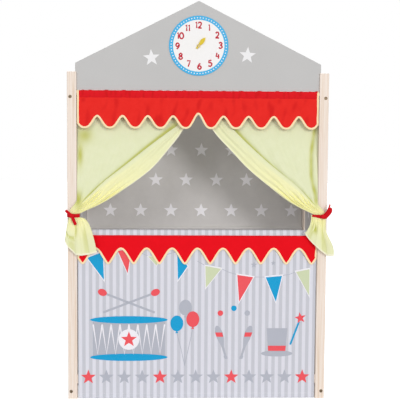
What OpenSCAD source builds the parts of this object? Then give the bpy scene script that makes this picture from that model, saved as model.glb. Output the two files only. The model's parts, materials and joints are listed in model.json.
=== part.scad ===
// Toy puppet theatre: a bolted wooden frame dressed with cloth, a pitched gable board
// with a play clock, a scalloped valance, two tied-back curtains and a striped front.
// Units are millimetres. +X is the right-hand side seen from the audience, +Y runs from the
// audience to the back, +Z is up. The origin is on the floor at the middle of the footprint.

/* [Frame] */
// Width over the outer faces of the posts
frame_w = 840; // [700:10:1000]
// Depth from the front of the front posts to the back of the rear posts
frame_depth = 350; // [300:10:450]
// Height of the front posts
post_h = 1063; // [1000:5:1150]
// Width of a post, seen from the audience
post_w = 30; // [28:1:40]
// Thickness of a post, front to back
post_t = 20; // [20:1:28]
// How far the rear posts stop below the top of the front posts
rear_drop = 63; // [50:1:120]
// Rounding of the long edges of posts and rails
edge_r = 2; // [1:0.5:4]
// Height of every rail
rail_h = 30; // [30:1:40]
// Thickness of every rail
rail_t = 20; // [20:1:24]
// Underside of the bottom side rails above the floor
low_rail_z = 11; // [5:1:20]
// Underside of the bottom cross rails above the floor
low_cross_z = 50; // [48:1:90]
// Top of the rear top cross rail below the top of the rear posts
cross_drop = 25; // [20:1:60]
// Set-back of the front cross rail from the front of the posts
cross_setback = 3; // [2.5:0.5:5]

/* [Gable board] */
// Thickness of the gable board
gable_t = 6; // [4:0.5:8]
// Eaves of the gable board above the top of the posts
eave_rise = 28; // [10:1:60]
// Peak of the gable board above its eaves
gable_rise = 199; // [120:1:260]
// Depth of the groove in each post that holds the board
groove_d = 4.5; // [3:0.5:6]
// Front of the gable board behind the front of the posts
gable_setback = 7; // [4:0.5:9]

/* [Clock] */
// Diameter of the printed dial
dial_d = 190; // [120:5:200]
// Thickness of the dial
dial_t = 2; // [1:0.5:3]
// Centre of the clock above the eaves
clock_rise = 57; // [40:1:70]
// Length of the hand from its pivot to the tip
hand_len = 33; // [24:1:60]
// Widest part of the hand's blade
hand_w = 13; // [9:0.5:18]
// Length of the hand's rounded tail
hand_tail = 12; // [8:0.5:20]
// Thickness of the hand
hand_t = 3; // [2:0.5:5]
// Angle of the hand, clockwise from twelve
hand_angle = 39; // [0:1:359]
// Diameter of the hand's screw
pivot_d = 4; // [3:0.5:5]
// Diameter of the screw's head and the washer
pivot_head_d = 8.5; // [7:0.5:12]

/* [Rods] */
// Diameter of the wooden rods in the valance and the stage edge
rod_d = 15; // [12:1:16]
// Diameter of the steel rod that the curtains slide on
curtain_rod_d = 8; // [6:0.5:8]
// Diameter of the wooden rod in the hem of the back cloth
back_rod_d = 10; // [8:1:14]
// How far a rod goes into a post
rod_plug = 10; // [8:1:12]
// How far the curtain rod goes into a side rail
curtain_plug = 5; // [4:0.5:6]
// Middle of the curtain rod behind the front posts
curtain_rod_back = 10; // [9:1:14]

/* [Valance and stage edge] */
// Top edge of the valance below the top of the posts
valance_drop = 58; // [50:1:90]
// Height of the valance, from its top edge to its lowest scallops
valance_h = 122; // [90:1:150]
// Height of one scallop
scallop_h = 37; // [20:1:45]
// Extra height of the middle notch
middle_notch = 9; // [0:1:20]
// Distance from one scallop of the valance to the next
scallop_pitch = 81; // [60:1:110]
// Gap between the valance and each post
valance_gap = 2; // [1:0.5:6]
// Top of the stage edge above the floor
stage_z = 556.5; // [500:1:580]
// Height of the striped sleeve above the stage valance
sleeve_h = 18; // [16:1:30]
// Height of the stage valance, from its top edge to its tips
stage_valance_h = 95; // [60:1:110]
// Height of the arches of the stage valance
arch_h = 49; // [25:1:56]
// Distance from one arch of the stage valance to the next
arch_pitch = 82.5; // [60:0.5:110]
// Width of the cream tape on the edges
tape_w = 7; // [5:0.5:10]

/* [Cloth] */
// Thickness that every cloth is given
cloth_t = 1.2; // [1:0.1:1.4]
// Clearance between a cloth and what carries it
seat = 0.3; // [0.3:0.05:0.5]
// Gap between the front cloth and each post
front_cloth_gap = 3; // [2:0.5:8]
// Hem of the front and side cloths above the floor
hem_z = 2; // [2:0.5:8]
// Middle of the back cloth's hem rod above the floor
back_hem_z = 527; // [480:1:540]
// Gap between each side cloth and the posts
side_cloth_gap = 5; // [4:0.5:12]

/* [Curtains] */
// Middle of the ribbon ties above the floor
tie_z = 603; // [590:1:700]
// Gap between the two curtains on their rod
curtain_gap = 6; // [2:1:40]
// Number of soft folds in each curtain
curtain_folds = 5; // [3:1:7]
// Depth of those folds
fold_d = 3; // [1:0.5:4]
// Width of the gathered cloth inside the ribbon
bundle_w = 36; // [28:1:44]
// Thickness of the gathered cloth inside the ribbon
bundle_t = 12; // [8:1:14]
// Length of the tail below the ribbon
tail_h = 127; // [90:1:150]
// Number of folds in each tail
tail_folds = 4; // [3:1:5]
// Width of the ribbon
ribbon_w = 10; // [6:1:16]

/* [Fixings] */
// Diameter of the frame bolts
bolt_d = 6; // [5:0.5:6]
// Diameter of the bolt heads
bolt_head_d = 10.5; // [9:0.5:12]
// Height of the bolt heads
bolt_head_h = 4; // [3:0.5:5]
// Hexagon socket in the heads, across its flats
socket_af = 4; // [3:0.5:5]
// How far a bolt goes into its rail
bolt_in = 33; // [28:1:40]
// Bolts above the underside of their side rail
bolt_rise = 13.5; // [12:0.5:15]
// Diameter of the barrel nuts
nut_d = 10; // [9:0.5:12]
// Length of the barrel nuts
nut_len = 10; // [8:1:12]
// Middle of the barrel nuts from the end of their rail
nut_in = 25; // [18:1:26]
// Diameter of the locating dowels
dowel_d = 6; // [5:0.5:6]
// Length of the locating dowels
dowel_len = 28; // [20:1:32]
// Locating dowels below the bolts
dowel_below = 8.5; // [8:0.5:9]

/* [Hidden] */
$fn = 48;

// Clearances on each side of what goes into a bore, a hole or a groove
bore_clear = 0.25;
dowel_clear = 0.1;
rod_clear = 0.2;
tip_clear = 0.3;
thread_clear = 0.05;
hand_clear = 0.05;
head_clear = 0.2;
board_clear = 0.3;
// How far a cutting shape runs past the face that it cuts
cut = 1;
// How far two parts of one cloth overlap where they are sewn together
lap = 0.5;
// Bolt heads below the face of the wood, and the floor left under their sockets
head_sink = 0.3;
socket_floor = 1;

inner_half = frame_w / 2 - post_w;
rear_post_h = post_h - rear_drop;
rear_y = frame_depth - post_t;
side_rail_x = frame_w / 2 - rail_t / 2;
high_rail_z = rear_post_h - rail_h;
back_rail_z = rear_post_h - cross_drop - rail_h;
side_bolt_zs = [low_rail_z + bolt_rise, high_rail_z + bolt_rise];
cross_bolt_rise = rail_h / 2;
bolt_in_bore = bolt_in + 2;
recess_h = head_sink + bolt_head_h + head_clear;
dowel_hole = dowel_len / 2 + tip_clear;
seam_t = cloth_t + seat;

valance_top = post_h - valance_drop;
valance_low = valance_top - valance_h;
valance_half = inner_half - valance_gap;
valance_rod_z = valance_top - seam_t - rod_d / 2;
rod_to_seam = 5;
valance_seam_z = valance_rod_z - rod_d / 2 - rod_to_seam;
valance_y = 3;
gable_bottom = valance_top + cut;
eave_z = post_h + eave_rise;
clock_z = eave_z + clock_rise;

rod_y = post_t / 2;
stage_rod_z = stage_z - seam_t - rod_d / 2;
stage_seam_z = stage_z - sleeve_h;
stage_low = stage_seam_z - stage_valance_h;
stage_valance_y = -3;
front_cloth_y = 0.9;
sleeve_low_z = stage_seam_z - 4;
front_cloth_half = inner_half - front_cloth_gap;

curtain_rod_y = post_t + curtain_rod_back;
rod_over_bolt = 2.3;
curtain_rod_z = high_rail_z + bolt_rise + bolt_d / 2 + curtain_rod_d / 2 + rod_over_bolt;
curtain_side_gap = 4;
curtain_outer_x = inner_half - curtain_side_gap;

gable_y = gable_setback;
dial_y = gable_y - dial_t;
washer_t = 1;
washer_y = dial_y - washer_t;
hand_y = washer_y - hand_t;
hand_play = 0.2;
pivot_head_t = 2.4;
pivot_slot_w = 1;
gable_nut_t = 3.2;
screw_past_nut = 1;

tail_y = -17;
tail_fold_d = 8;
tail_t = 3;
tail_front = tail_fold_d + tail_t / 2 - tail_y;
front_y = -(frame_depth - tail_front) / 2;

// Colours
pine = "#f0e2d2";
board_grey = "#c2c1c0";
red = "#e0242a";
cream = "#ffe2a6";
lime = "#dde5bf";
stripe = "#dcdde6";
cloth_grey = "#b1adab";
bronze = "#8f7650";
zinc = "#b8bcc0";
yellow = "#e0c020";
dial_blue = "#3fb4e6";

// Small helpers

function lerp(a, b, t) = a + (b - a) * t;
function clamp01(t) = min(1, max(0, t));
function smooth(t) = let (s = clamp01(t)) s * s * (3 - 2 * s);
function bezier(a, b, c, d, t) =
    a * pow(1 - t, 3) + 3 * b * t * pow(1 - t, 2) + 3 * c * t * t * (1 - t) + d * pow(t, 3);
// Value at t, from 0 to 1, along a list of evenly spaced values
function along(values, t) =
    let (s = clamp01(t) * (len(values) - 1), i = min(len(values) - 2, floor(s)))
    lerp(values[i], values[i + 1], s - i);

// Moves from the frame's front plane, where y is 0, to the object's own origin
module placed() translate([0, front_y, 0]) children();

// The right-hand piece as drawn, or its mirror image on the left
module on_side(side) if (side > 0) children(); else mirror([1, 0, 0]) children();

// Rectangle with rounded corners from its lower left corner
module rounded_rect(w, d, r) {
    translate([r, 0]) square([w - 2 * r, d]);
    translate([0, r]) square([w, d - 2 * r]);
    for (x = [r, w - r], y = [r, d - r]) translate([x, y]) circle(r = r);
}

// Round bar along a direction, from a point
module bar(at, dir, d, len) {
    turn = dir == "x" ? [0, 90, 0] : dir == "y" ? [-90, 0, 0] : [0, 0, 0];
    translate(at) rotate(turn) cylinder(d = d, h = len);
}

// Closed solid between a front and a back grid of points: rows run down, columns run to the right
module skin(front, back) {
    rows = len(front);
    cols = len(front[0]);
    count = rows * cols;
    points = concat([for (row = front) for (p = row) p], [for (row = back) for (p = row) p]);
    face_front = [for (r = [0:rows - 2]) for (c = [0:cols - 2])
        let (a = r * cols + c, b = a + 1, e = b + cols, d = a + cols)
        for (tri = [[a, b, e], [a, e, d]]) tri];
    face_back = [for (tri = face_front) [tri[0] + count, tri[2] + count, tri[1] + count]];
    face_top = [for (c = [0:cols - 2])
        for (tri = [[c, c + count, c + 1 + count], [c, c + 1 + count, c + 1]]) tri];
    low = (rows - 1) * cols;
    face_low = [for (c = [low:low + cols - 2])
        for (tri = [[c, c + 1 + count, c + count], [c, c + 1, c + 1 + count]]) tri];
    face_left = [for (r = [0:rows - 2]) let (a = r * cols, d = a + cols)
        for (tri = [[a + count, a, d], [a + count, d, d + count]]) tri];
    face_right = [for (r = [0:rows - 2]) let (a = r * cols + cols - 1, d = a + cols)
        for (tri = [[a + count, d, a], [a + count, d + count, d]]) tri];
    faces = concat(face_front, face_back, face_top, face_low, face_left, face_right);
    polyhedron(points, faces, convexity = 10);
}

// Cloth of one thickness, given its mid-surface as rows of points
module cloth(grid, thick = cloth_t) {
    half = [0, thick / 2, 0];
    skin([for (row = grid) [for (p = row) p - half]], [for (row = grid) [for (p = row) p + half]]);
}

// Sewn sleeve round a rod along X, with its seam at a point below the rod
module rod_sleeve(z, d, half_len, seam) {
    r_in = d / 2 + seat;
    r_out = r_in + cloth_t;
    middle = [rod_y, z];
    round_top = [for (a = [-20:10:220]) middle + r_out * [cos(a), sin(a)]];
    translate([-half_len, 0, 0]) rotate([90, 0, 90]) linear_extrude(2 * half_len) difference() {
        polygon(concat(round_top, [seam - [1, 0], seam + [1, 0]]));
        translate(middle) circle(r = r_in);
    }
}

// Frame

module post_blank(x, y, h) translate([x, y, 0]) linear_extrude(h) rounded_rect(post_w, post_t, edge_r);

// Bore for a bolt that enters a post at its face: head recess, shank hole
module bolt_bore(at, dir, sign, depth) {
    step = dir == "x" ? [sign, 0, 0] : [0, sign, 0];
    start = at - step * cut;
    flip = sign > 0 ? 0 : 1;
    along_axis(start, dir, flip) {
        cylinder(d = bolt_head_d + 2 * head_clear, h = recess_h + cut);
        cylinder(d = bolt_d + 2 * bore_clear, h = depth + 2 * cut);
    }
}

// Turns children, drawn along +Z, to point along X or Y, forwards or backwards
module along_axis(at, dir, flip) {
    turn = dir == "x" ? [0, flip ? -90 : 90, 0] : [flip ? 90 : -90, 0, 0];
    translate(at) rotate(turn) children();
}

// Front post on the right, with every hole and groove it needs
module front_post() {
    difference() {
        post_blank(inner_half, 0, post_h);
        translate([inner_half - cut, gable_y - board_clear, gable_bottom - board_clear])
            cube([groove_d + cut, gable_t + 2 * board_clear, post_h]);
        for (z = side_bolt_zs) {
            bolt_bore([side_rail_x, 0, z], "y", 1, post_t);
            bar([side_rail_x, post_t - dowel_hole, z - dowel_below], "y", dowel_d + 2 * dowel_clear,
                dowel_hole + cut);
        }
        for (z = [valance_rod_z, stage_rod_z])
            bar([inner_half - cut, rod_y, z], "x", rod_d + 2 * rod_clear, rod_plug + tip_clear + cut);
        cross_rail_holes(rod_y, low_cross_z);
    }
}

// Bolt bore and dowel hole in a right-hand post for one cross rail
module cross_rail_holes(y, rail_z) {
    z = rail_z + cross_bolt_rise;
    bolt_bore([frame_w / 2, y, z], "x", -1, post_w);
    bar([inner_half - cut, y, z - dowel_below], "x", dowel_d + 2 * dowel_clear, dowel_hole + cut);
}

// Rear post on the right
module rear_post() {
    difference() {
        post_blank(inner_half, rear_y, rear_post_h);
        for (z = side_bolt_zs) {
            bolt_bore([side_rail_x, frame_depth, z], "y", -1, post_t);
            bar([side_rail_x, rear_y - cut, z - dowel_below], "y", dowel_d + 2 * dowel_clear,
                dowel_hole + cut);
        }
        bar([inner_half - cut, rear_y + post_t / 2, back_hem_z], "x", back_rod_d + 2 * rod_clear,
            rod_plug + tip_clear + cut);
        cross_rail_holes(rear_y + post_t / 2, back_rail_z);
        cross_rail_holes(rear_y + post_t / 2, low_cross_z);
    }
}

// Side rail on the right between the front and rear posts
module side_rail(z, curtain_hole) {
    bolt_z = z + bolt_rise;
    length = rear_y - post_t;
    inner_x = side_rail_x - rail_t / 2;
    difference() {
        translate([inner_x, rear_y, z]) rotate([90, 0, 0]) linear_extrude(length)
            rounded_rect(rail_t, rail_h, edge_r);
        for (end = [[post_t, 0], [rear_y, 1]]) {
            sign = end[1] == 1 ? -1 : 1;
            along_axis([side_rail_x, end[0] - sign * cut, bolt_z], "y", end[1])
                cylinder(d = bolt_d + 2 * bore_clear, h = bolt_in_bore + cut);
            along_axis([side_rail_x, end[0] - sign * cut, bolt_z - dowel_below], "y", end[1])
                cylinder(d = dowel_d + 2 * dowel_clear, h = dowel_hole + cut);
            bar([inner_x - cut, end[0] + sign * nut_in, bolt_z], "x", nut_d + 2 * dowel_clear,
                rail_t / 2 + nut_len / 2 + tip_clear + cut);
        }
        if (curtain_hole)
            bar([inner_x - cut, curtain_rod_y, curtain_rod_z], "x", curtain_rod_d + 2 * rod_clear,
                curtain_plug + tip_clear + cut);
    }
}

// Cross rail between a left and a right post; nut_side is -1 where the nuts go in from the front
module cross_rail(y, bolt_y, z, nut_side) {
    bolt_z = z + cross_bolt_rise;
    difference() {
        translate([-inner_half, y, z]) rotate([90, 0, 90]) linear_extrude(2 * inner_half)
            rounded_rect(rail_t, rail_h, edge_r);
        for (side = [-1, 1]) on_side(side) {
            bar([inner_half - bolt_in_bore, bolt_y, bolt_z], "x", bolt_d + 2 * bore_clear,
                bolt_in_bore + cut);
            bar([inner_half - dowel_hole, bolt_y, bolt_z - dowel_below], "x", dowel_d + 2 * dowel_clear,
                dowel_hole + cut);
            nut_x = inner_half - nut_in;
            if (nut_side < 0)
                bar([nut_x, y - cut, bolt_z], "y", nut_d + 2 * dowel_clear,
                    bolt_y - y + nut_len / 2 + tip_clear + cut);
            else
                bar([nut_x, bolt_y - nut_len / 2 - tip_clear, bolt_z], "y", nut_d + 2 * dowel_clear,
                    y + rail_t - bolt_y + nut_len / 2 + tip_clear + cut);
        }
    }
}

module front_post_left() color(pine) placed() on_side(-1) front_post();
module front_post_right() color(pine) placed() on_side(1) front_post();
module rear_post_left() color(pine) placed() on_side(-1) rear_post();
module rear_post_right() color(pine) placed() on_side(1) rear_post();
module top_side_rail_left() color(pine) placed() on_side(-1) side_rail(high_rail_z, true);
module top_side_rail_right() color(pine) placed() on_side(1) side_rail(high_rail_z, true);
module bottom_side_rail_left() color(pine) placed() on_side(-1) side_rail(low_rail_z, false);
module bottom_side_rail_right() color(pine) placed() on_side(1) side_rail(low_rail_z, false);
module front_cross_rail() color(pine) placed() cross_rail(cross_setback, rod_y, low_cross_z, 1);
module rear_top_rail() color(pine) placed() cross_rail(rear_y, rear_y + post_t / 2, back_rail_z, -1);
module rear_bottom_rail() color(pine) placed() cross_rail(rear_y, rear_y + post_t / 2, low_cross_z, -1);

// Fixings

// Bolt with a socket head just below the face of the wood at z 0, and its shank along +Z
module bolt(post_depth) difference() {
    translate([0, 0, head_sink]) {
        cylinder(d = bolt_head_d, h = bolt_head_h);
        cylinder(d = bolt_d, h = post_depth + bolt_in - head_sink);
    }
    translate([0, 0, head_sink - cut])
        cylinder(d = socket_af / cos(30), h = bolt_head_h - socket_floor + cut, $fn = 6);
}

module front_bolts() color(bronze) placed()
    for (side = [-1, 1], z = side_bolt_zs) on_side(side)
        along_axis([side_rail_x, 0, z], "y", 0) bolt(post_t);

module rear_bolts() color(bronze) placed()
    for (side = [-1, 1], z = side_bolt_zs) on_side(side)
        along_axis([side_rail_x, frame_depth, z], "y", 1) bolt(post_t);

module cross_rail_bolts() color(bronze) placed()
    for (side = [-1, 1], spot = cross_spots()) on_side(side)
        along_axis([frame_w / 2, spot[0], spot[1]], "x", 1) bolt(post_w);

// Places, as y and z, where a cross rail meets the posts
function cross_spots() = [
    [rod_y, low_cross_z + cross_bolt_rise],
    [rear_y + post_t / 2, low_cross_z + cross_bolt_rise],
    [rear_y + post_t / 2, back_rail_z + cross_bolt_rise]
];

// Barrel nut with its cross hole for the bolt, both through the origin
module barrel_nut(nut_dir, bolt_dir) {
    from = nut_dir == "x" ? [-nut_len / 2, 0, 0] : [0, -nut_len / 2, 0];
    through = bolt_dir == "x" ? [-nut_d, 0, 0] : [0, -nut_d, 0];
    difference() {
        bar(from, nut_dir, nut_d, nut_len);
        bar(through, bolt_dir, bolt_d + 2 * thread_clear, 2 * nut_d);
    }
}

module side_rail_nuts() color(zinc) placed()
    for (side = [-1, 1], y = [post_t + nut_in, rear_y - nut_in], z = side_bolt_zs)
        on_side(side) translate([side_rail_x, y, z]) barrel_nut("x", "y");

module cross_rail_nuts() color(zinc) placed()
    for (side = [-1, 1], spot = cross_spots())
        on_side(side) translate([inner_half - nut_in, spot[0], spot[1]]) barrel_nut("y", "x");

module locating_dowels() color(pine) placed() for (side = [-1, 1]) on_side(side) {
    for (y = [post_t, rear_y], z = side_bolt_zs)
        bar([side_rail_x, y - dowel_len / 2, z - dowel_below], "y", dowel_d, dowel_len);
    for (spot = cross_spots())
        bar([inner_half - dowel_len / 2, spot[0], spot[1] - dowel_below], "x", dowel_d, dowel_len);
}

// Gable and clock

module gable_board() color(board_grey) placed() {
    half = inner_half + groove_d - board_clear;
    difference() {
        translate([0, gable_y + gable_t, 0]) rotate([90, 0, 0]) linear_extrude(gable_t)
            polygon([[-half, gable_bottom], [half, gable_bottom], [half, eave_z], [0, eave_z + gable_rise],
                [-half, eave_z]]);
        bar([0, gable_y - cut, clock_z], "y", pivot_d + 2 * hand_clear, gable_t + 2 * cut);
    }
}

module clock_dial() color(dial_blue) placed() difference() {
    bar([0, dial_y, clock_z], "y", dial_d, dial_t);
    bar([0, dial_y - cut, clock_z], "y", pivot_d + 2 * hand_clear, dial_t + 2 * cut);
}

// Outline of the hand pointing up from its pivot: a leaf, a waist and a rounded tail
module hand_outline() {
    blade_r = (pow(hand_len / 2, 2) + pow(hand_w / 2, 2)) / hand_w;
    intersection_for(s = [-1, 1])
        translate([s * (blade_r - hand_w / 2), hand_len / 2]) circle(r = blade_r, $fn = 96);
    circle(d = pivot_head_d + 2 * washer_t);
    translate([-hand_w / 6, -hand_tail / 2]) square([hand_w / 3, hand_tail]);
    translate([0, hand_w / 4 - hand_tail]) circle(d = hand_w / 2);
}

module clock_hand() color(yellow) placed()
    translate([0, hand_y + hand_t, clock_z]) rotate([90, 0, 0]) linear_extrude(hand_t) difference() {
        rotate(-hand_angle) hand_outline();
        circle(d = pivot_d + 2 * hand_clear);
    }

module clock_hand_washer() color(zinc) placed() difference() {
    bar([0, washer_y, clock_z], "y", pivot_head_d, washer_t);
    bar([0, washer_y - cut, clock_z], "y", pivot_d + 2 * hand_clear, washer_t + 2 * cut);
}

// Pan-head screw from the front of the hand to behind the board
module clock_hand_screw() color(zinc) placed() {
    back_y = gable_y + gable_t + gable_nut_t + screw_past_nut;
    head_y = hand_y - hand_play;
    difference() {
        bar([0, head_y - pivot_head_t, clock_z], "y", pivot_head_d, pivot_head_t);
        for (turn = [0, 90]) translate([0, head_y - pivot_head_t, clock_z]) rotate([0, turn, 0])
            cube([pivot_head_d * 0.6, pivot_head_t, pivot_slot_w], center = true);
    }
    bar([0, head_y - lap, clock_z], "y", pivot_d, back_y - head_y + lap);
}

module clock_hand_nut() color(zinc) placed()
    translate([0, gable_y + gable_t, clock_z]) rotate([-90, 0, 0]) difference() {
        cylinder(d = 1.9 * pivot_d, h = gable_nut_t, $fn = 6);
        translate([0, 0, -cut]) cylinder(d = pivot_d + 2 * thread_clear, h = gable_nut_t + 2 * cut);
    }

// Rods

module cross_rod(z, y, d) bar([-inner_half - rod_plug, y, z], "x", d, 2 * (inner_half + rod_plug));

module valance_rod() color(pine) placed() cross_rod(valance_rod_z, rod_y, rod_d);
module stage_rod() color(pine) placed() cross_rod(stage_rod_z, rod_y, rod_d);
module back_cloth_rod() color(pine) placed() cross_rod(back_hem_z, rear_y + post_t / 2, back_rod_d);

module curtain_rod() color(zinc) placed() {
    half = side_rail_x - rail_t / 2 + curtain_plug;
    bar([-half, curtain_rod_y, curtain_rod_z], "x", curtain_rod_d, 2 * half);
}

// Valances

// Power that makes the lobes of both valances fuller than the notches and arches between them
fullness = 1.3;

// Height of the valance's scalloped edge: round lobes and narrower notches, the middle one deeper
function scallop_z(x) =
    let (wave = pow((1 + cos(360 * x / scallop_pitch)) / 2, fullness),
         middle = abs(x) < scallop_pitch / 2 ? middle_notch * wave : 0)
    valance_low + scallop_h * wave + middle;

// Height of the stage valance's edge: round arches and pointed tips
function arch_z(x) = stage_low + arch_h * pow(abs(cos(180 * x / arch_pitch)), fullness);

// Side-to-side positions of the grid, evenly spaced
function columns(half, count) = [for (i = [0:count]) lerp(-half, half, i / count)];

// Two gentle waves of a short hanging cloth, which grow towards its lower edge
function ripple(x, t) = t * (1.6 * sin(360 * x / scallop_pitch) + 0.8 * sin(360 * x / 310 + 40));

red_half = valance_half - tape_w - seat;
red_columns = columns(red_half, 6 * round(2 * valance_half / scallop_pitch));
tape_t = cloth_t + 0.8;

function edge_z(x, scalloped) = scalloped ? scallop_z(x) : arch_z(x);

// Red part of a valance, which stops where its tape begins
module valance_sheet(y, z_top, scalloped, rows)
    cloth([for (r = [0:rows]) let (t = r / rows)
        [for (x = red_columns) [x, y - ripple(x, t), lerp(z_top, edge_z(x, scalloped) + tape_w + seat, t)]]]);

// Tape along the shaped edge of a valance and up both of its sides
module edge_tape(y, z_top, scalloped) {
    xs = concat([-valance_half], red_columns, [valance_half]);
    cloth([for (t = [0, 1])
        [for (x = xs) [x, y - ripple(x, 1), edge_z(x, scalloped) + (1 - t) * tape_w]]], tape_t);
    for (side = [-1, 1]) {
        x0 = side > 0 ? valance_half - tape_w : -valance_half;
        low = edge_z(side * valance_half, scalloped) + lap;
        cloth([for (t = [0, 1]) [for (x = [x0, x0 + tape_w])
            [x, y - t * ripple(side * valance_half, 1), lerp(z_top, low, t)]]], tape_t);
    }
}

module valance() color(red) placed() {
    valance_sheet(valance_y, valance_seam_z + lap, true, 4);
    rod_sleeve(valance_rod_z, rod_d, red_half, [valance_y, valance_seam_z]);
}

module valance_tape() color(cream) placed() edge_tape(valance_y, valance_seam_z, true);

module stage_valance() color(red) placed() valance_sheet(stage_valance_y, stage_seam_z, false, 3);

module stage_valance_tape() color(cream) placed() edge_tape(stage_valance_y, stage_seam_z, false);

// Front, back and side cloths

// Long shallow waves of a flat hanging cloth
function slack(x, t, depth) = depth * sin(180 * t) * (sin(360 * x / 260 + 60 * t) + 0.5 * sin(360 * x / 97));

module front_cloth() color(stripe) placed() {
    xs = columns(front_cloth_half, 18);
    cloth([for (r = [0:6]) let (t = r / 6)
        [for (x = xs) [x, front_cloth_y - slack(x, t, 0.3), lerp(sleeve_low_z + lap, hem_z, t)]]]);
    rod_sleeve(stage_rod_z, rod_d, front_cloth_half, [front_cloth_y, sleeve_low_z]);
}

// The top rail passes through a sleeve of the back cloth and the hem rod through another
module back_cloth() color(cloth_grey) placed() {
    half = inner_half - 1;
    hang_y = rear_y + post_t / 2;
    hem_top = back_hem_z + back_rod_d / 2 + seat;
    difference() {
        translate([-half, rear_y - seam_t, back_rail_z - seam_t])
            cube([2 * half, rail_t + 2 * seam_t, rail_h + 2 * seam_t]);
        translate([-half - cut, rear_y - seat, back_rail_z - seat])
            cube([2 * (half + cut), rail_t + 2 * seat, rail_h + 2 * seat]);
    }
    cloth([for (r = [0:6]) let (t = r / 6)
        [for (x = columns(half, 18))
            [x, hang_y - slack(x, t, 3), lerp(back_rail_z - seam_t + lap, hem_top + lap, t)]]]);
    difference() {
        bar([-half, hang_y, back_hem_z], "x", back_rod_d + 2 * seam_t, 2 * half);
        bar([-half - cut, hang_y, back_hem_z], "x", back_rod_d + 2 * seat, 2 * (half + cut));
    }
}

// Side cloth on the right: a sleeve round the top side rail and a flat fall inside the rails
module side_cloth() {
    inner_x = side_rail_x - rail_t / 2;
    fall_x = inner_x - seat - cloth_t / 2;
    y0 = post_t + side_cloth_gap;
    y1 = rear_y - side_cloth_gap;
    sleeve_y0 = curtain_rod_y + curtain_rod_d / 2 + side_cloth_gap;
    difference() {
        translate([inner_x - seam_t, sleeve_y0, high_rail_z - seam_t])
            cube([rail_t + 2 * seam_t, y1 - sleeve_y0, rail_h + 2 * seam_t]);
        translate([inner_x - seat, sleeve_y0 - cut, high_rail_z - seat])
            cube([rail_t + 2 * seat, y1 - sleeve_y0 + 2 * cut, rail_h + 2 * seat]);
    }
    translate([fall_x, 0, 0]) rotate([0, 0, 90])
        cloth([for (r = [0:6]) let (t = r / 6)
            [for (i = [0:9]) let (y = lerp(y0, y1, i / 9))
                [y, max(0, slack(y, t, 2)), lerp(high_rail_z - seam_t + lap, hem_z + low_rail_z, t)]]]);
}

module side_cloth_left() color(cloth_grey) placed() on_side(-1) side_cloth();
module side_cloth_right() color(cloth_grey) placed() on_side(1) side_cloth();

// Curtains

drape_end_z = tie_z + ribbon_w / 2 + seat;
bundle_past_post = 14;
bundle_to_post = 2.3;
bundle_in = inner_half - bundle_past_post;
bundle_y = -bundle_to_post - bundle_t / 2;

// Handles of each curtain's sweep, as shares: two of its width for x, then two of its fall for z
left_sweep = [0.84, 0.65, 0.49, 0.34];
right_sweep = [0.97, 0.47, 0.35, 0.24];

// Mid-surface of a right-hand curtain: u runs from the post to the free edge, t down from the rod.
// Its sweep is a cubic curve, and over_post carries the outer edge in front of the post at the tie.
function drape(u, t, sweep) =
    let (top_z = curtain_rod_z - curtain_rod_d / 2 - seam_t + lap,
         fall = top_z - drape_end_z,
         reach = curtain_outer_x - curtain_gap / 2,
         top_x = curtain_outer_x - u * reach,
         end_x = lerp(curtain_outer_x, bundle_in + 1, u),
         x_high = curtain_outer_x - u * reach * sweep[0],
         x_low = curtain_outer_x - u * reach * sweep[1],
         x = bezier(top_x, x_high, x_low, end_x, t),
         z = bezier(top_z, top_z - fall * sweep[2], drape_end_z + fall * sweep[3], drape_end_z, t),
         over_post = (bundle_in + bundle_w - curtain_outer_x) * (1 - u) * smooth((t - 0.87) / 0.13),
         forward = lerp(curtain_rod_y, bundle_y, pow(t, 1.15)),
         waves = fold_d * sin(180 * t) * sin(360 * curtain_folds * u) * (1 - 0.4 * u),
         band = 5 * sin(180 * t) * (smooth((u - 0.8) / 0.1) - smooth((u - 0.92) / 0.16)))
    [x + over_post, forward - waves - band, z];

module curtain(sweep) {
    cols = 19;
    rows = 14;
    length = curtain_outer_x - curtain_gap / 2;
    cloth([for (r = [0:rows]) [for (c = [0:cols]) drape(1 - c / cols, r / rows, sweep)]]);
    difference() {
        bar([curtain_gap / 2, curtain_rod_y, curtain_rod_z], "x", curtain_rod_d + 2 * seam_t, length);
        bar([curtain_gap / 2 - cut, curtain_rod_y, curtain_rod_z], "x", curtain_rod_d + 2 * seat,
            length + 2 * cut);
    }
}

module curtain_left() color(lime) placed() on_side(-1) curtain(left_sweep);
module curtain_right() color(lime) placed() on_side(1) curtain(right_sweep);

// Lower hem of each tail as offsets from the middle of the bundle and as shares of the tail's length
left_hem_x = [-70, -46, -22, -2, 22, 32];
left_hem_z = [0.92, 0.98, 1, 0.99, 0.8, 0.64];
right_hem_x = [-44, -30, -14, 6, 24, 42];
right_hem_z = [0.45, 0.6, 0.74, 0.88, 1, 1];

// Gathered tail under the ribbon, its folds opening towards the hem
module curtain_tail(hem_x, hem_z) {
    cols = 5 * tail_folds;
    rows = 6;
    middle = bundle_in + bundle_w / 2;
    neck_top = drape_end_z - seat;
    neck_low = tie_z - ribbon_w / 2 - seat;
    function row(t, z_share) = let (open = smooth(t * 1.6))
        [for (c = [0:cols]) let (u = c / cols, neck = (u - 0.5) * (bundle_w - 6),
                wave = sin(360 * tail_folds * u) * lerp(bundle_t / 2 - 3, tail_fold_d, open))
            [middle + lerp(neck, along(hem_x, u), pow(t, 0.7)),
             lerp(bundle_y, tail_y, open) + wave,
             z_share < 0 ? neck_top : neck_low - z_share * (neck_low - tie_z + tail_h * along(hem_z, u))]];
    cloth(concat([row(0, -1)], [for (r = [0:rows]) row(r / rows, r / rows)]), tail_t);
}

module curtain_tail_left() color(lime) placed() on_side(-1) curtain_tail(left_hem_x, left_hem_z);
module curtain_tail_right() color(lime) placed() on_side(1) curtain_tail(right_hem_x, right_hem_z);

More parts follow.
